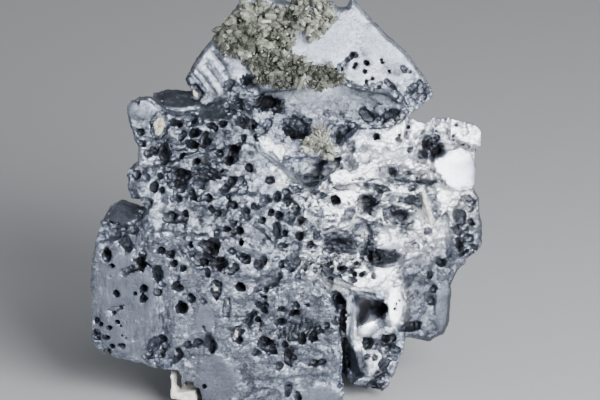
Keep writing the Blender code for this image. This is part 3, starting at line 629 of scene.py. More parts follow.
def roughen(grid):
    """Terraces, facets, ragged edges and grain, worked into the galena's surface."""
    band = near_surface(grid)
    points = band.points
    columns, rows = columns_of(points), rows_of(points)
    front = np.clip((8 - points[:, 1]) / 6, 0, 1)
    smooth, crumpled, bright, top, plain = zones(band)
    rough = 1 - smooth

    inward = 0.1 * layered_noise(band, (9, 9, 9), 1, 2)
    ragged = layered_noise(band, (3.2, 3.2, 1.6), 21, 3)
    terraces = stepped(layered_noise(band, (15, 9, 5), 4, 2) * 2.6 + 0.7 * ragged, 0.32)
    inward += bright * np.clip(terraces - 1.3, 0, 1.4)
    waves = layered_noise(band, (6, 6, 4.5), 31, 3)
    inward += crumpled * 0.8 * np.clip(waves - 0.3, 0, 1)
    lumps = stepped(layered_noise(band, (7, 7, 6), 12) * 4, 0.6)
    inward += plain * 0.22 * lumps
    inward += top * 0.08 * stepped(layered_noise(band, (7, 7, 4), 17) * 4, 0.5)
    flattened = points * np.array((1, 1, 1.7), np.float32)
    coarse, middling = facets(points, 2.3, 8), facets(flattened, 1.25, 9)
    fine = facets(flattened, 0.8, 10)
    inward += crumpled * (0.25 * coarse + 0.22 * middling + 0.25 * fine)
    inward += bright * (0.15 * coarse + 0.2 * middling + 0.15 * fine)
    inward += plain * (0.25 * coarse + 0.18 * middling + 0.12 * fine)
    inward += top * rough * 0.12 * middling

    upright = soft_noise(band, (0.65, 3, 16), 41) + 0.6 * soft_noise(band, (1.4, 3, 10), 42)
    inward += spots_mask(columns, rows, STRIATED_SPOTS) * front * 0.4 * upright
    bend = 0.004 * (columns - 190) ** 2
    slanted = (columns * 0.72 - rows * 0.69 + bend + 1.2 * ragged) / 2.0
    inward += spots_mask(columns, rows, GROOVED_SPOTS) * front * 0.8 * grooves(slanted, 43)
    lined = (columns * 0.79 - rows * 0.61) / 2.0
    inward += spots_mask(columns, rows, LINED_SPOTS) * front * 0.4 * grooves(lined, 44)

    strength = 0.1 + 0.28 * np.maximum(crumpled, bright) + 0.2 * plain
    moved = np.stack([(facets(points, 1.7, 71 + axis) - 0.5) * 1.5
                      + (soft_noise(band, (4, 4, 4), 81 + axis) - 0.5) * 1.4
                      for axis in range(3)], axis=1) * strength[:, None]
    shifted = sampled(grid.distance, grid, points + moved)
    grid.distance[band.places] = np.maximum(shifted + inward, -points[:, 2])


def flat_cut(grid, tree, deep, lean, turn, outline):
    """Cuts a flat face into the front inside an outline of the front view."""
    middle = np.array(outline).mean(axis=0)
    halves = (np.array(outline).max(axis=0) - np.array(outline).min(axis=0)) / 2
    mouth, normal = mouth_on(tree, *middle, *(halves * 0.6))
    if mouth is None:
        return
    plane = facing(lean, turn)
    slices, away = local_box(grid, mouth, max(halves) * STEP + 3)
    right = along(away, VIEW_RIGHT) / STEP + middle[0]
    down = middle[1] - along(away, VIEW_UP) / STEP
    outside = -1e3
    turning = sum(c1 * r2 - c2 * r1 for (c1, r1), (c2, r2) in zip(outline, outline[1:] + outline[:1]))
    for (c1, r1), (c2, r2) in zip(outline, outline[1:] + outline[:1]):
        length = math.hypot(c2 - c1, r2 - r1) * math.copysign(1, turning)
        side = ((right - c1) * (r2 - r1) - (down - r1) * (c2 - c1)) / length
        outside = np.maximum(outside, side * STEP)
    removed = np.maximum(outside, -(along(away, plane) + deep))
    removed = np.maximum(removed, along(away, VIEW_AWAY) - 6)
    grid.distance[slices] = np.maximum(grid.distance[slices], -removed)


def front_spot(grid, column, row):
    """The first place of the grid's own surface that the front view shows at a column and row."""
    steps = np.arange(-60, 60, 0.15)[:, None]
    line = np.array(seen_start(column, row)) + np.array(VIEW_AWAY) * steps
    within = np.nonzero(sampled(grid.distance, grid, line) < 0)[0]
    return Vector(line[within[0]]) if len(within) else None


def crack(grid, rng, wide, places):
    """A thin slot (mm) cut in along a line of places of the front view, with painted shade along it."""
    for (c1, r1), (c2, r2) in zip(places, places[1:]):
        count = int(math.hypot(c2 - c1, r2 - r1))
        for k in range(count):
            column = c1 + (c2 - c1) * k / count + rng.gauss(0, 0.8)
            row = r1 + (r2 - r1) * k / count + rng.gauss(0, 0.8)
            spot = front_spot(grid, column, row)
            if spot is None:
                continue
            half = wide * rng.uniform(0.5, 1.3)
            slices, away = local_box(grid, spot, 2)
            ahead = along(away, VIEW_AWAY)
            aside = np.sqrt(np.maximum(away[0] ** 2 + away[1] ** 2 + away[2] ** 2 - ahead ** 2, 0))
            slot = np.maximum(aside - half, np.abs(ahead + 0.4) - 1.4)
            grid.distance[slices] = np.maximum(grid.distance[slices], -slot)
            # Painted shade along the slot
            grid.sunk[slices] = np.maximum(grid.sunk[slices], 1.2 * np.clip(1.35 - aside / half, 0, 1))


def hollow_out(grid, mouth, inward, across, upward, halves, deep, ragged, gloom, rng):
    """Cuts a hole (mm) with a rounded bottom and ragged walls; gloom is how black the painted shade inside
    gets.
    """
    slices, away = local_box(grid, mouth, max(halves) * 1.4 + deep)
    right, up = along(away, across) / halves[0], along(away, upward) / halves[1]
    down = np.maximum(along(away, inward), 0) / deep
    wobble = 0
    for length in (1.1, 1.9, 3.1):
        way = Vector((rng.gauss(0, 1), rng.gauss(0, 1), rng.gauss(0, 1))).normalized()
        wobble = wobble + np.sin(along(away, way) * (2 * math.pi / length) + rng.uniform(0, 6))
    six = np.maximum(np.abs(right), np.abs(right * 0.5 + up * 0.866))
    six = np.maximum(six, np.abs(right * 0.5 - up * 0.866))
    sideways = 0.75 * np.sqrt(right ** 2 + up ** 2) + 0.28 * six
    reach = np.sqrt(sideways ** 2 + down ** 3) - 1 + ragged * wobble
    grid.distance[slices] = np.maximum(grid.distance[slices], -reach * min(halves))
    # Painted shade inside the hole, darker deeper in
    near = np.clip((1.3 - sideways) / 0.25, 0, 1) * np.clip((1.7 - down) / 0.2, 0, 1)
    sunk = np.minimum(down * deep, 1.2) * gloom * near
    grid.sunk[slices] = np.maximum(grid.sunk[slices], sunk)


def fill_in(grid, mouth, inward, radius):
    """Closes a pit (mm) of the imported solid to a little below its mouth."""
    slices, away = local_box(grid, mouth, radius + 4.5)
    down = along(away, inward)
    aside = np.sqrt(np.maximum(away[0] ** 2 + away[1] ** 2 + away[2] ** 2 - down ** 2, 0))
    filled = np.maximum(0.3 - down, np.maximum(aside - radius, down - 4.5))
    grid.distance[slices] = np.minimum(grid.distance[slices], filled)


def turned_axes(normal, turn):
    """Two directions across a face, turned about its normal."""
    upward = (VIEW_UP - normal * VIEW_UP.dot(normal)).normalized()
    across = upward.cross(normal).normalized()
    cos, sin = math.cos(turn), math.sin(turn)
    return across * cos + upward * sin, upward * cos - across * sin


def front_hole(grid, tree, rng, column, row, wide, high, turn, deep, ragged, gloom=1.0):
    """A hole seen at a place of the front view, with its half width and half height (steps)."""
    mouth, normal = mouth_on(tree, column, row, wide * PIT_RING, high * PIT_RING)
    if mouth is None:
        return
    inward = (VIEW_AWAY * 0.8 - normal).normalized()
    across, upward = turned_axes(-inward, math.radians(-turn))
    halves = (wide * STEP, high * STEP)
    hollow_out(grid, mouth, inward, across, upward, halves, deep, ragged, gloom, rng)


def front_holes(grid, tree):
    rng = random.Random(5)
    for cut in FLAT_CUTS:
        flat_cut(grid, tree, *cut)
    for wide, places in CRACKS:
        crack(grid, rng, 0.75 * wide + 0.06, places)
    for column, row, wide, high, turn, deep in HOLLOWS:
        front_hole(grid, tree, rng, column, row, wide * 0.85, high * 0.85, turn, deep, 0.2, 0.5)
    for column, row, wide, high in PITS + SMALL_PITS:
        deep = (0.9 + 0.3 * min(wide, high)) * rng.uniform(0.7, 1.2)
        share = 0.38
        place = (np.array([column]), np.array([row]))
        if max(wide, high) < 9 and spots_mask(*place, CRUMPLED_SPOTS + BRIGHT_SPOTS)[0] > 0.3:
            mouth, normal = mouth_on(tree, column, row, wide * 0.55, high * 0.55)
            if mouth is not None:
                fill_in(grid, mouth, (VIEW_AWAY * 0.8 - normal).normalized(), max(wide, high) * 0.55 * STEP)
            share = rng.uniform(0.2, 0.36)
        front_hole(grid, tree, rng, column, row, wide * share, high * share, rng.uniform(-25, 25),
                   deep, 0.16, rng.choice((0.2, 0.35, 0.5, 0.7, 0.9)))
    for column, row, half_wide, half_high, count, least, most in PITTED_AREAS:
        for _ in range(count):
            angle, far = rng.uniform(0, 2 * math.pi), math.sqrt(rng.random())
            size = rng.uniform(least, most)
            front_hole(grid, tree, rng, column + half_wide * far * math.cos(angle),
                       row + half_high * far * math.sin(angle), size * 0.36,
                       size * rng.uniform(0.24, 0.42), rng.uniform(-90, 90),
                       (0.7 + 0.28 * size) * rng.uniform(0.8, 1.3), 0.12,
                       rng.choice((0.1, 0.25, 0.4, 0.6, 0.9)))


def hidden_holes(grid, tree):
    """Pits scattered over the sides and the back."""
    rng = random.Random(11)
    for *way, count in HIDDEN_PITS:
        way = Vector(way).normalized()
        made = 0
        for _ in range(count * 4):
            target = Vector([rng.uniform(low, high) for low, high in HIDDEN_ROOM])
            spot, normal = tree.ray_cast(target + way * 120, -way)[:2]
            if spot is None or made == count or spot.z < 3:
                continue
            if normal.dot(way) < 0.25 or normal.y < -0.3 or spot.y < -4:
                continue
            made += 1
            size = rng.choice((0.5, 0.6, 0.7, 0.9, 1.2, 1.6))
            across = normal.orthogonal().normalized()
            upward = across.cross(normal)
            hollow_out(grid, spot, -normal, across, upward, (size, size * rng.uniform(0.7, 1.3)),
                       size * 1.8 + 0.6, 0.08, 0.9, rng)


# Meshes

def coarser(grid, voxel):
    """The same distances on a grid with a wider step."""
    distance, low = grid.distance, []
    for axis in range(3):
        first = math.ceil(grid.low[axis] * grid.voxel / voxel)
        last = int((grid.low[axis] + distance.shape[axis] - 1) * grid.voxel / voxel)
        line = np.arange(first, last) * voxel / grid.voxel - grid.low[axis]
        cell = line.astype(np.int32)
        share = (line - cell).astype(np.float32).reshape([-1 if k == axis else 1 for k in range(3)])
        distance = np.take(distance, cell, axis) * (1 - share) + np.take(distance, cell + 1, axis) * share
        low.append(first)
    return Grid(distance, None, np.array(low), voxel)


def fine_mesh(grid, flatness):
    """The grid's surface: its points in millimetres and its faces."""
    volume = openvdb.FloatGrid(OUTER_BAND * grid.voxel)
    volume.transform = openvdb.createLinearTransform(voxelSize=grid.voxel)
    volume.copyFromArray(np.ascontiguousarray(grid.distance), ijk=tuple(int(k) for k in grid.low))
    points, triangles, quads = volume.convertToPolygons(isovalue=0.0, adaptivity=flatness)
    return points.astype(np.float32), triangles[:, ::-1], quads[:, ::-1]


def new_piece(name, points, triangles, quads, values):
    """A smooth-shaded mesh in metres, with named values on its points."""
    corners = np.concatenate([triangles.ravel(), quads.ravel()])
    sizes = np.concatenate([np.full(len(triangles), 3), np.full(len(quads), 4)])
    starts = np.concatenate([[0], np.cumsum(sizes)[:-1]])
    mesh = bpy.data.meshes.new(name)
    mesh.vertices.add(len(points))
    mesh.vertices.foreach_set("co", (points * MM).astype(np.float32).ravel())
    mesh.loops.add(len(corners))
    mesh.loops.foreach_set("vertex_index", corners.astype(np.int32))
    mesh.polygons.add(len(sizes))
    mesh.polygons.foreach_set("loop_start", starts.astype(np.int32))
    mesh.update(calc_edges=True)
    mesh.validate()
    mesh.shade_smooth()
    mesh.set_sharp_from_angle(angle=math.radians(SHARP_ANGLE))
    for key, numbers in values.items():
        layer = mesh.attributes.new(key, "FLOAT", "POINT")
        layer.data.foreach_set("value", numbers.astype(np.float32))
    obj = bpy.data.objects.new(name, mesh)
    bpy.context.scene.collection.objects.link(obj)
    return obj


def hollow_fields(grid):
    """Grids of the painted shade in pits and cracks (from depth, mm), and how shut in each place is, from 0
    to 1.
    """
    solid = (grid.distance < 0).astype(np.float32)
    return {"sunk": grid.sunk, "shut_in": blurred(solid, 3), "in_cleft": blurred(solid, 10)}


def used_points(points, *faces):
    """The points that some faces use, and the faces with the points' new numbers."""
    used = np.unique(np.concatenate([part.ravel() for part in faces]))
    number = np.zeros(len(points), np.int32)
    number[used] = np.arange(len(used))
    return points[used], *(number[part] for part in faces)


# The pieces that the galena's surface is shown in. The back is coarser, and reaches a little under
# the front ones
FRONT_PIECES = ("galena_top", "galena_right", "galena_left", "galena_middle")
BACK_START, FRONT_END = 3.4, 4.0


def piece_numbers(middles):
    """Which front piece each face belongs to by its place in the front view, or -1."""
    columns, rows = columns_of(middles), rows_of(middles)
    number = np.full(len(middles), 3)
    number[columns < 216] = 2
    number[columns > 346 - 0.18 * (rows - 190)] = 1
    number[rows < 162 - 0.1 * (columns - 250)] = 0
    number[middles[:, 1] > FRONT_END] = -1
    return number


def galena_pieces(frame):
    solid = frame["nodes"]["galena"]
    tree = solid_tree(solid)
    grid = grid_of(solid, GALENA_VOXEL)
    packed = grid.distance.copy()
    grow(grid)
    front_holes(grid, tree)
    hidden_holes(grid, tree)
    roughen(grid)
    finish = galena_finish()
    fields = hollow_fields(grid)
    fields["packed"] = packed
    points, triangles, quads = fine_mesh(coarser(grid, BACK_VOXEL), FLATNESS)
    chosen = [faces[points[faces].mean(axis=1)[:, 1] > BACK_START] for faces in (triangles, quads)]
    galena_piece("galena_back", grid, fields, finish, points, *chosen)
    points, triangles, quads = fine_mesh(grid, FLATNESS)
    for_triangles = piece_numbers(points[triangles].mean(axis=1))
    for_quads = piece_numbers(points[quads].mean(axis=1))
    for number, name in enumerate(FRONT_PIECES):
        galena_piece(name, grid, fields, finish, points, triangles[for_triangles == number],
                     quads[for_quads == number])


def galena_piece(name, grid, fields, finish, points, triangles, quads):
    """One piece of the galena's surface, with what its finish reads at each point."""
    print(name, len(triangles) + 2 * len(quads), "triangles")
    points, triangles, quads = used_points(points, triangles, quads)
    values = {key: sampled(field, grid, points) for key, field in fields.items()}
    values["lowered"] = np.maximum(-values.pop("packed"), 0)
    columns, rows = columns_of(points), rows_of(points)
    front = np.clip((8 - points[:, 1]) / 6, 0, 1)
    # Painted reflection: the bright terraces and polished patches get near-white tones, the top plate a
    # little
    painted_reflection_mask = np.maximum(spots_mask(columns, rows, BRIGHT_SPOTS),
                        0.14 * spots_mask(columns, rows, TOP_SPOTS))
    smooth = spots_mask(columns, rows, SMOOTH_SPOTS)
    values["painted_reflection_mask"] = np.maximum(painted_reflection_mask, patch_mask(columns, rows, PAINTED_REFLECTION_PATCHES)) * front
    # Painted shade in the listed spots
    values["spot_shade"] = graded_mask(columns, rows, PAINTED_SHADE_SPOTS) * front
    # Painted shade in the listed dark patches, black where they go past 1
    values["patch_shade"] = patch_mask(columns, rows, PAINTED_SHADE_PATCHES) * front
    # Ragged patches of painted shade
    values["broken_shade"] = np.maximum(graded_mask(columns, rows, RAGGED_SHADE_SPOTS) * front, 0.6 * (1 - front))
    values["satin"] = np.maximum(smooth, 0.7 * spots_mask(columns, rows, TOP_SPOTS)) * front
    values["streaked"] = spots_mask(columns, rows, STREAKED_SPOTS) * front
    dress(new_piece(name, points, triangles, quads, values), "galena", finish)


def dress(piece, node, finish):
    piece.data.materials.append(finish)
    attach(piece, "root")
    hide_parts(node)


# The pale minerals

CRUST_OUTLINE = (
    (223, 57), (217, 43), (228, 29), (244, 17), (262, 6), (280, 10), (300, 5), (317, 3), (333, 7),
    (336, 22), (325, 40), (312, 45), (303, 31), (297, 38), (293, 50), (298, 60), (312, 66),
    (330, 69), (343, 76), (344, 88), (330, 92), (300, 90), (276, 92), (259, 86), (251, 72), (240, 61))
CRUST_CRYSTALS = 1250
# Below this row the crust's crystals are darker
CRUST_SHADE_ROW = 64


def rough_piece(frame, node, finish, layers, flatness=0.05, mat_shade=0.5):
    """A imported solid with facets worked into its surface: layers of size, height and seed."""
    grid = grid_of(frame["nodes"][node], PALE_VOXEL)
    band = near_surface(grid)
    inward = sum(tall * facets(band.points, size, seed) for size, tall, seed in layers)
    grid.distance[band.places] += inward
    points, triangles, quads = fine_mesh(grid, flatness)
    points, triangles, quads = used_points(points, triangles, quads)
    values = {key: sampled(field, grid, points) for key, field in hollow_fields(grid).items()}
    values["shade"] = np.full(len(points), mat_shade, np.float32)
    piece = new_piece(node + "_grown", points, triangles, quads, values)
    dress(piece, node, finish)
    return piece


def pointed_crystals(name, crystals):
    """Six-sided pointed crystals in one mesh: each a foot, axis, length, radius (mm) and lightness."""
    rng = random.Random(3)
    points, faces, shades = [], [], []
    for foot, axis, length, radius, light in crystals:
        first = len(points)
        across = axis.orthogonal().normalized()
        other = axis.cross(across)
        turn = rng.uniform(0, math.pi)
        flat = rng.uniform(0.75, 1.15)
        shade = rng.random() * light
        for height, share in ((0, 1), (length - 1.3 * radius, 0.96)):
            for k in range(6):
                angle = turn + k * math.pi / 3
                out = across * math.cos(angle) + other * math.sin(angle) * flat
                points.append((foot + axis * height + out * radius * share) * MM)
        tip = foot + axis * length + across * radius * rng.uniform(-0.3, 0.3)
        points.append(tip * MM)
        faces.append([first + k for k in reversed(range(6))])
        for k in range(6):
            following = (k + 1) % 6
            faces.append([first + k, first + following, first + 6 + following, first + 6 + k])
            faces.append([first + 6 + k, first + 6 + following, first + 12])
        shades += [shade] * 13
    mesh = bpy.data.meshes.new(name)
    mesh.from_pydata(points, [], faces)
    layer = mesh.attributes.new("shade", "FLOAT", "POINT")
    layer.data.foreach_set("value", shades)
    obj = bpy.data.objects.new(name, mesh)
    bpy.context.scene.collection.objects.link(obj)
    return obj


def crust_crystals(tree):
    rng = random.Random(21)
    crystals = []
    while len(crystals) < CRUST_CRYSTALS:
        column, row = rng.uniform(215, 346), rng.uniform(0, 94)
        if not inside(column, row, CRUST_OUTLINE):
            continue
        foot, normal = spot_on(tree, column, row)
        if foot is None:
            continue
        lean = Vector((rng.gauss(0, 1), rng.gauss(0, 1), rng.gauss(0, 1))) * 0.6
        axis = (normal + lean + Vector((0, 0, 0.15))).normalized()
        if axis.dot(normal) < 0.15:
            continue
        radius = rng.choice((0.16, 0.2, 0.25, 0.3, 0.45, 0.75))
        if column < 262 and row < 56:
            radius = rng.choice((0.3, 0.5, 0.8, 1.1))
        length = radius * rng.uniform(2.6, 5.5)
        light = 0.45 if row > CRUST_SHADE_ROW else 1
        crystals.append((foot - axis * radius, axis, length, radius, light))
    return pointed_crystals("crust_crystals", crystals)


TUFT_FANS = (
    # column, row, half width, half height, how many, least and greatest length, radius, lean up
    (308, 146, 5, 9, 44, 1.2, 2.6, 0.4, 0.1), (328, 153, 5, 10, 46, 1.4, 2.8, 0.5, 0.1),
    (322, 136, 6, 9, 50, 2.0, 5.0, 0.13, 0.7), (318, 150, 7, 8, 26, 1.2, 2.4, 0.2, 0.2))


def tuft_crystals(tree):
    rng = random.Random(31)
    crystals = []
    for column, row, wide, high, count, least, most, radius, upward in TUFT_FANS:
        for _ in range(count):
            angle, far = rng.uniform(0, 2 * math.pi), math.sqrt(rng.random())
            foot, normal = spot_on(tree, column + wide * far * math.cos(angle),
                                   row + high * far * math.sin(angle))
            if foot is None:
                continue
            spread = Vector((math.cos(angle), 0, -math.sin(angle))) * far * 0.6
            lean = Vector((rng.gauss(0, 0.25), rng.gauss(0, 0.25), rng.gauss(0, 0.25)))
            axis = (normal * 0.6 + spread + lean + Vector((0, 0, upward))).normalized()
            thick = radius * rng.uniform(0.7, 1.4)
            crystals.append((foot - axis * 1.2, axis, rng.uniform(least, most) * 0.8, thick, 1))
    return pointed_crystals("tuft_crystals", crystals)


def pale_pieces(frame):
    nodes = frame["nodes"]
    green, cream = quartz_finish("quartz_olive", OLIVE_TONES), quartz_finish("quartz_cream", CREAM_TONES)
    crust_tree = solid_tree(nodes["quartz_crust"])
    dress(crust_crystals(crust_tree), "quartz_crust", green)
    rough_piece(frame, "quartz_crust", green, ((1.6, 0.5, 51), (0.8, 0.35, 52)), 0.1, 0.05)
    tuft_tree = solid_tree(nodes["quartz_tuft"])
    dress(tuft_crystals(tuft_tree), "quartz_tuft", cream)
    rough_piece(frame, "quartz_tuft", cream, ((1.2, 0.6, 53), (0.7, 0.4, 54)), 0.05, 0.2)
    white, tan = calcite_finish("calcite_white", WHITE_TONES), calcite_finish("calcite_tan", TAN_TONES)
    rough_piece(frame, "quartz_blade", cream, ((1.4, 0.3, 55), (0.7, 0.2, 56)))
    rough_piece(frame, "calcite_foot", white, ((2.6, 1.2, 57), (1.1, 0.8, 58)))
    for number, node in enumerate(sorted(name for name in nodes if name.startswith("grain_"))):
        rough_piece(frame, node, tan, ((1.3, 0.5, 61 + number), (0.7, 0.45, 71)))


# Materials

OLIVE_TONES = ((0.10, 0.11, 0.075, 1), (0.33, 0.345, 0.29, 1), (0.62, 0.63, 0.55, 1))
CREAM_TONES = ((0.30, 0.30, 0.22, 1), (0.66, 0.66, 0.58, 1), (0.88, 0.88, 0.84, 1))
WHITE_TONES = ((0.55, 0.52, 0.46, 1), (0.74, 0.71, 0.66, 1), (0.85, 0.83, 0.79, 1))
TAN_TONES = ((0.20, 0.18, 0.12, 1), (0.52, 0.49, 0.39, 1), (0.74, 0.71, 0.60, 1))
GALENA_TONES = ((0.083, 0.094, 0.123, 1), (0.275, 0.304, 0.372, 1), (0.74, 0.79, 0.9, 1))
# The near-white tones of the painted reflection
PAINTED_REFLECTION_TONES = ((0.5, 0.53, 0.6, 1), (0.9, 0.93, 0.98, 1), (1.0, 1.0, 1.0, 1))
# The dark tone of painted shade in spots, patches and their ragged edges
PAINTED_DARK_TONE = (0.06, 0.065, 0.08, 1)
# The height of the galena's fine grain (m)
GRIT = 0.00012
# The near-black of painted shade in pits, cracks, clefts and the darkest patches
PAINTED_BLACK_TONE = (0.022, 0.022, 0.026, 1)


def new_group(name, inputs, outputs):
    """A shader node group: its tree, its input node and its output node."""
    tree = bpy.data.node_groups.new(name, "ShaderNodeTree")
    for label, kind, value in inputs:
        socket = tree.interface.new_socket(label, in_out="INPUT", socket_type=kind)
        socket.default_value = value
    for label, kind in outputs:
        tree.interface.new_socket(label, in_out="OUTPUT", socket_type=kind)
    return tree, tree.nodes.new("NodeGroupInput"), tree.nodes.new("NodeGroupOutput")


def math_node(tree, operation, first, second):
    node = tree.nodes.new("ShaderNodeMath")
    node.operation = operation
    for socket, value in zip(node.inputs, (first, second)):
        if isinstance(value, (int, float)):
            socket.default_value = value
        else:
            tree.links.new(value, socket)
    return node.outputs[0]


def ramp_node(tree, value, low, high, start=0.0, end=1.0):
    """A value moved from the range low to high onto the range start to end, and kept inside it."""
    node = tree.nodes.new("ShaderNodeMapRange")
    node.clamp = True
    tree.links.new(value, node.inputs["Value"])
    for label, number in (("From Min", low), ("From Max", high), ("To Min", start), ("To Max", end)):
        node.inputs[label].default_value = number
    return node.outputs["Result"]


def noise_node(tree, vector, scale, detail=4.0, rough=0.6):
    node = tree.nodes.new("ShaderNodeTexNoise")
    tree.links.new(vector, node.inputs["Vector"])
    node.inputs["Scale"].default_value = scale
    node.inputs["Detail"].default_value = detail
    node.inputs["Roughness"].default_value = rough
    return node.outputs["Fac"]


def value_of(tree, name):
    node = tree.nodes.new("ShaderNodeAttribute")
    node.attribute_name = name
    return node.outputs["Fac"]


def object_place(tree):
    return tree.nodes.new("ShaderNodeTexCoord").outputs["Object"]


def hollow_group():
    """Masks from a surface's own values: painted shade in pits and clefts, and high where the surface lies
    near the imported solid's, where the painted reflection may go.
    """
    tree, given, result = new_group("hollows_and_heights", (), (
        ("Dark", "NodeSocketFloat"), ("High", "NodeSocketFloat")))
    # Noise that makes the painted shade of the pits uneven
    shade_wobble = ramp_node(tree, noise_node(tree, object_place(tree), 1100, 4, 0.7), 0.3, 0.7, -0.45, 0.45)
    sunk = math_node(tree, "ADD", value_of(tree, "sunk"), shade_wobble)
    sunk = math_node(tree, "MULTIPLY", ramp_node(tree, sunk, 0.2, 1.1),
                     ramp_node(tree, value_of(tree, "sunk"), 0.02, 0.3))
    shut = ramp_node(tree, value_of(tree, "shut_in"), 0.60, 0.9, 0, 0.75)
    cleft = ramp_node(tree, value_of(tree, "in_cleft"), 0.56, 0.8, 0, 0.7)
    lowered = value_of(tree, "lowered")
    deep = ramp_node(tree, lowered, 1.6, 3.0, 0, 0.5)
    dark = math_node(tree, "MAXIMUM", math_node(tree, "MAXIMUM", sunk, shut),
                     math_node(tree, "MAXIMUM", cleft, deep))
    tree.links.new(dark, result.inputs["Dark"])
    tree.links.new(ramp_node(tree, lowered, 2.6, 1.6), result.inputs["High"])
    return tree


def ragged_shade_group():
    """Ragged patches of painted shade, more of them where Much is high."""
    tree, given, result = new_group("ragged_painted_shade", (("Much", "NodeSocketFloat", 0.5),), (
        ("Patches", "NodeSocketFloat"), ("Rough", "NodeSocketFloat")))
    place = object_place(tree)
    rough = noise_node(tree, stretched(tree, place, (1, 1, 1.6)), 300, 8, 0.72)
    less = ramp_node(tree, given.outputs["Much"], 0, 1, 0.24, 0)
    patches = ramp_node(tree, math_node(tree, "ADD", rough, less), 0.515, 0.485)
    tree.links.new(patches, result.inputs["Patches"])
    tree.links.new(rough, result.inputs["Rough"])
    return tree


def facet_group():
    """The height (m) of small flat facets, each tilted its own way."""
    tree, given, result = new_group("cleavage_facets", (("Tilt", "NodeSocketFloat", 0.3),),
                                    (("Height", "NodeSocketFloat"),))
    place = tree.nodes.new("ShaderNodeTexCoord").outputs["Object"]
    height = None
    for scale, share in ((850, 1.0), (2200, 1.0)):
        cells = tree.nodes.new("ShaderNodeTexVoronoi")
        cells.inputs["Scale"].default_value = scale
        tree.links.new(place, cells.inputs["Vector"])
        away = tree.nodes.new("ShaderNodeVectorMath")
        away.operation = "SUBTRACT"
        tree.links.new(place, away.inputs[0])
        tree.links.new(cells.outputs["Position"], away.inputs[1])
        lean = tree.nodes.new("ShaderNodeVectorMath")
        lean.operation = "SUBTRACT"
        tree.links.new(cells.outputs["Color"], lean.inputs[0])
        lean.inputs[1].default_value = (0.5, 0.5, 0.5)
        rise = tree.nodes.new("ShaderNodeVectorMath")
        rise.operation = "DOT_PRODUCT"
        tree.links.new(away.outputs[0], rise.inputs[0])
        tree.links.new(lean.outputs[0], rise.inputs[1])
        part = math_node(tree, "MULTIPLY", rise.outputs["Value"], share)
        height = part if height is None else math_node(tree, "ADD", height, part)
    tree.links.new(math_node(tree, "MULTIPLY", height, given.outputs["Tilt"]), result.inputs["Height"])
    return tree


def stretched(tree, place, scales):
    """Object coordinates with each axis scaled."""
    node = tree.nodes.new("ShaderNodeVectorMath")
    node.operation = "MULTIPLY"
    tree.links.new(place, node.inputs[0])
    node.inputs[1].default_value = scales
    return node.outputs[0]


def blended(tree, share, first, second):
    """A colour between two, by a share from 0 to 1."""
    node = tree.nodes.new("ShaderNodeMix")
    node.data_type = "RGBA"
    for socket, value in (("Factor", share), ("A", first), ("B", second)):
        if isinstance(value, tuple):
            node.inputs[socket].default_value = value
        else:
            tree.links.new(value, node.inputs[socket])
    return node.outputs["Result"]


def grain_group():
    """Mottled colour between three tones, and the height of a fine grain. Streaks run upright."""
    tone = "NodeSocketColor"
    grey = (0.5, 0.5, 0.5, 1)
    tree, given, result = new_group("mottled_grain", (
        ("Dark Tone", tone, grey), ("Middle Tone", tone, grey), ("Light Tone", tone, grey),
        ("Streaks", "NodeSocketFloat", 0.0), ("Contrast", "NodeSocketFloat", 1.0)), (
        ("Color", tone), ("Height", "NodeSocketFloat"), ("Mottle", "NodeSocketFloat")))
    place = object_place(tree)
    broad = noise_node(tree, place, 160, 4)
    fine = noise_node(tree, stretched(tree, place, (1, 1, 1.5)), 900, 5, 0.95)
    streaks = noise_node(tree, stretched(tree, place, (1, 1, 0.22)), 1100, 4, 0.85)
    tint = tree.nodes.new("ShaderNodeMix")
    for socket, value in (("Factor", given.outputs["Streaks"]), ("A", fine), ("B", streaks)):
        tree.links.new(value, tint.inputs[socket])
    mixed = math_node(tree, "ADD", math_node(tree, "MULTIPLY", broad, 0.25),
                      math_node(tree, "MULTIPLY", tint.outputs["Result"], 0.75))
    swing = math_node(tree, "MULTIPLY", math_node(tree, "SUBTRACT", mixed, 0.5), given.outputs["Contrast"])
    mixed = math_node(tree, "ADD", swing, 0.5)
    low = blended(tree, ramp_node(tree, mixed, 0.41, 0.5), given.outputs["Dark Tone"],
                  given.outputs["Middle Tone"])
    color = blended(tree, ramp_node(tree, mixed, 0.52, 0.61), low, given.outputs["Light Tone"])
    tree.links.new(color, result.inputs["Color"])
    tree.links.new(tint.outputs["Result"], result.inputs["Height"])
    tree.links.new(mixed, result.inputs["Mottle"])
    return tree


GROUPS = {}
GROUP_MAKERS = {"hollows": hollow_group, "grain": grain_group, "facets": facet_group,
                "broken_shade": ragged_shade_group}


def group_node(tree, name):
    """A node of one of the shared groups, which are made at their first use."""
    if name not in GROUPS:
        GROUPS[name] = GROUP_MAKERS[name]()
    node = tree.nodes.new("ShaderNodeGroup")
    node.node_tree = GROUPS[name]
    return node


def new_material(name):
    material = bpy.data.materials.new(name)
    material.use_nodes = True
    tree = material.node_tree
    return material, tree, tree.nodes["Principled BSDF"]


def toned(tree, tones):
    grain = group_node(tree, "grain")
    for label, tone in zip(("Dark Tone", "Middle Tone", "Light Tone"), tones):
        grain.inputs[label].default_value = tone
    return grain


def shaded_color(tree, shader, color, dark, tone):
    """Feeds the base colour: the colour given, going to a dark tone where painted shade falls in the
    hollows.
    """
    tree.links.new(blended(tree, dark, color, tone), shader.inputs["Base Color"])


def bumped(tree, shader, height, strength, distance):
    bump = tree.nodes.new("ShaderNodeBump")
    bump.inputs["Strength"].default_value = strength
    bump.inputs["Distance"].default_value = distance
    tree.links.new(height, bump.inputs["Height"])
    tree.links.new(bump.outputs["Normal"], shader.inputs["Normal"])


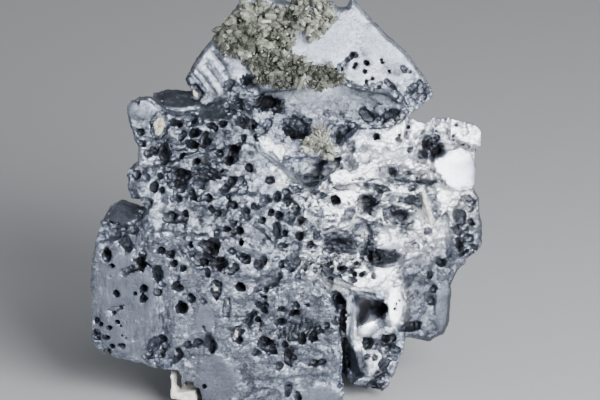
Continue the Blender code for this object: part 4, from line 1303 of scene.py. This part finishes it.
def galena_finish():
    material, tree, shader = new_material("galena_lead_grey")
    hollows, broken_shade = group_node(tree, "hollows"), group_node(tree, "broken_shade")
    satin = value_of(tree, "satin")
    much = math_node(tree, "MULTIPLY", value_of(tree, "broken_shade"), ramp_node(tree, satin, 0.1, 0.8, 1, 0))
    tree.links.new(much, broken_shade.inputs["Much"])
    grain, bright = toned(tree, GALENA_TONES), toned(tree, PAINTED_REFLECTION_TONES)
    tree.links.new(value_of(tree, "streaked"), grain.inputs["Streaks"])
    for tones in (grain, bright):
        tree.links.new(ramp_node(tree, satin, 0, 1, 1.0, 0.4), tones.inputs["Contrast"])
    # Painted reflection: near-white tones on the listed areas, kept off lowered places and the painted shade
    painted_reflection_share = math_node(tree, "MULTIPLY", value_of(tree, "painted_reflection_mask"), hollows.outputs["High"])
    painted_reflection_share = math_node(tree, "MULTIPLY", painted_reflection_share, ramp_node(tree, broken_shade.outputs["Patches"], 0, 1, 1, 0))
    patch_shade = value_of(tree, "patch_shade")
    painted_reflection_share = math_node(tree, "MULTIPLY", painted_reflection_share, ramp_node(tree, patch_shade, 0.1, 0.6, 1, 0))
    color = blended(tree, painted_reflection_share, grain.outputs["Color"], bright.outputs["Color"])
    # Painted shade in the ragged patches
    color = blended(tree, ramp_node(tree, broken_shade.outputs["Patches"], 0, 1, 0, 0.62), color, PAINTED_DARK_TONE)
    # Painted shade in the listed spots
    color = blended(tree, value_of(tree, "spot_shade"), color, PAINTED_DARK_TONE)
    # Ragged edges of the painted shade patches
    swing = ramp_node(tree, broken_shade.outputs["Rough"], 0.3, 0.7, -0.6, 0.6)
    ragged = math_node(tree, "MULTIPLY", ramp_node(tree, math_node(tree, "ADD", patch_shade, swing), 0.25, 0.55),
                       ramp_node(tree, patch_shade, 0.05, 0.7, 0, 0.9))
    color = blended(tree, ragged, color, PAINTED_DARK_TONE)
    # Painted shade: near black in pits, cracks, clefts and the darkest patches
    black = math_node(tree, "MAXIMUM", hollows.outputs["Dark"], ramp_node(tree, patch_shade, 1.0, 1.5))
    shaded_color(tree, shader, color, black, PAINTED_BLACK_TONE)
    shader.inputs["Metallic"].default_value = 1.0
    rough = ramp_node(tree, grain.outputs["Mottle"], 0.4, 0.6, 0.46, 0.3)
    tree.links.new(math_node(tree, "ADD", rough, math_node(tree, "MULTIPLY", hollows.outputs["Dark"], 0.35)),
                   shader.inputs["Roughness"])
    cleavage = group_node(tree, "facets")
    tree.links.new(ramp_node(tree, satin, 0, 1, 0.34, 0.05), cleavage.inputs["Tilt"])
    grit = math_node(tree, "MULTIPLY", grain.outputs["Height"], GRIT)
    bumped(tree, shader, math_node(tree, "ADD", cleavage.outputs["Height"], grit), 1.0, 1.0)
    return material


def quartz_finish(name, tones):
    material, tree, shader = new_material(name)
    hollows = group_node(tree, "hollows")
    grain = toned(tree, tones)
    varied = tree.nodes.new("ShaderNodeMix")
    varied.data_type = "RGBA"
    varied.blend_type = "MULTIPLY"
    varied.inputs["Factor"].default_value = 1.0
    tree.links.new(grain.outputs["Color"], varied.inputs["A"])
    tree.links.new(ramp_node(tree, value_of(tree, "shade"), 0, 1, 0.25, 1.5), varied.inputs["B"])
    # Painted shade in the crevices between the crystals
    shaded_color(tree, shader, varied.outputs["Result"], hollows.outputs["Dark"], (0.03, 0.03, 0.024, 1))
    shader.inputs["Roughness"].default_value = 0.22
    shader.inputs["IOR"].default_value = 1.54
    shader.inputs["Transmission Weight"].default_value = 0.45
    bumped(tree, shader, grain.outputs["Height"], 0.3, 0.0001)
    return material


def calcite_finish(name, tones):
    material, tree, shader = new_material(name)
    hollows = group_node(tree, "hollows")
    grain = toned(tree, tones)
    # Painted shade in the hollows
    shaded_color(tree, shader, grain.outputs["Color"], hollows.outputs["Dark"], (0.22, 0.2, 0.16, 1))
    tree.links.new(ramp_node(tree, grain.outputs["Mottle"], 0.35, 0.65, 0.45, 0.7),
                   shader.inputs["Roughness"])
    bumped(tree, shader, grain.outputs["Height"], 0.4, 0.0002)
    return material


# The stage

def floor_and_light():
    size = 2.5
    mesh = bpy.data.meshes.new("floor")
    mesh.from_pydata([(-size, -size, 0), (size, -size, 0), (size, size, 0), (-size, size, 0)], [],
                     [(0, 1, 2, 3)])
    floor = bpy.data.objects.new("floor", mesh)
    bpy.context.scene.collection.objects.link(floor)
    material, tree, shader = new_material("studio_floor")
    shader.inputs["Base Color"].default_value = (0.425, 0.431, 0.442, 1)
    shader.inputs["Roughness"].default_value = 0.9
    mesh.materials.append(material)
    world = bpy.data.worlds.new("studio")
    world.use_nodes = True
    world.node_tree.nodes["Background"].inputs["Color"].default_value = (0.55, 0.57, 0.6, 1)
    world.node_tree.nodes["Background"].inputs["Strength"].default_value = 0.41
    bpy.context.scene.world = world
    soft_box("key", (0.45, -0.83, 0.36), 0.6, 0.36, 10)
    soft_box("left", (-0.95, 0.1, 0.3), 0.9, 0.8, 0.6)
    soft_box("top", (0.65, -0.35, 0.7), 0.9, 1.0, 4)


# The lamps' colour
LIGHT_COLOR = (0.98, 0.99, 1.0)


def soft_box(name, direction, distance, size, power):
    light = bpy.data.lights.new(name, "AREA")
    light.shape = "SQUARE"
    light.size = size
    light.energy = power
    light.color = LIGHT_COLOR
    lamp = bpy.data.objects.new(name, light)
    toward = Vector(direction).normalized()
    lamp.location = Vector((0, 0, 0.05)) + toward * distance
    lamp.rotation_euler = toward.to_track_quat("Z", "Y").to_euler()
    bpy.context.scene.collection.objects.link(lamp)
    return lamp


def front_camera():
    data = bpy.data.cameras.new("front_view")
    data.sensor_width = 36
    data.lens = data.sensor_width * EYE_DISTANCE / (VIEW_COLUMNS * STEP)
    data.clip_end = 20
    camera = bpy.data.objects.new("front_view", data)
    aim = seen_start(VIEW_COLUMNS / 2, VIEW_ROWS / 2)
    camera.location = (aim - VIEW_AWAY * EYE_DISTANCE) * MM
    camera.rotation_euler = (-VIEW_AWAY).to_track_quat("Z", "Y").to_euler()
    bpy.context.scene.collection.objects.link(camera)
    bpy.context.scene.camera = camera


def main():
    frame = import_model()
    galena_pieces(frame)
    pale_pieces(frame)
    floor_and_light()
    front_camera()


main()
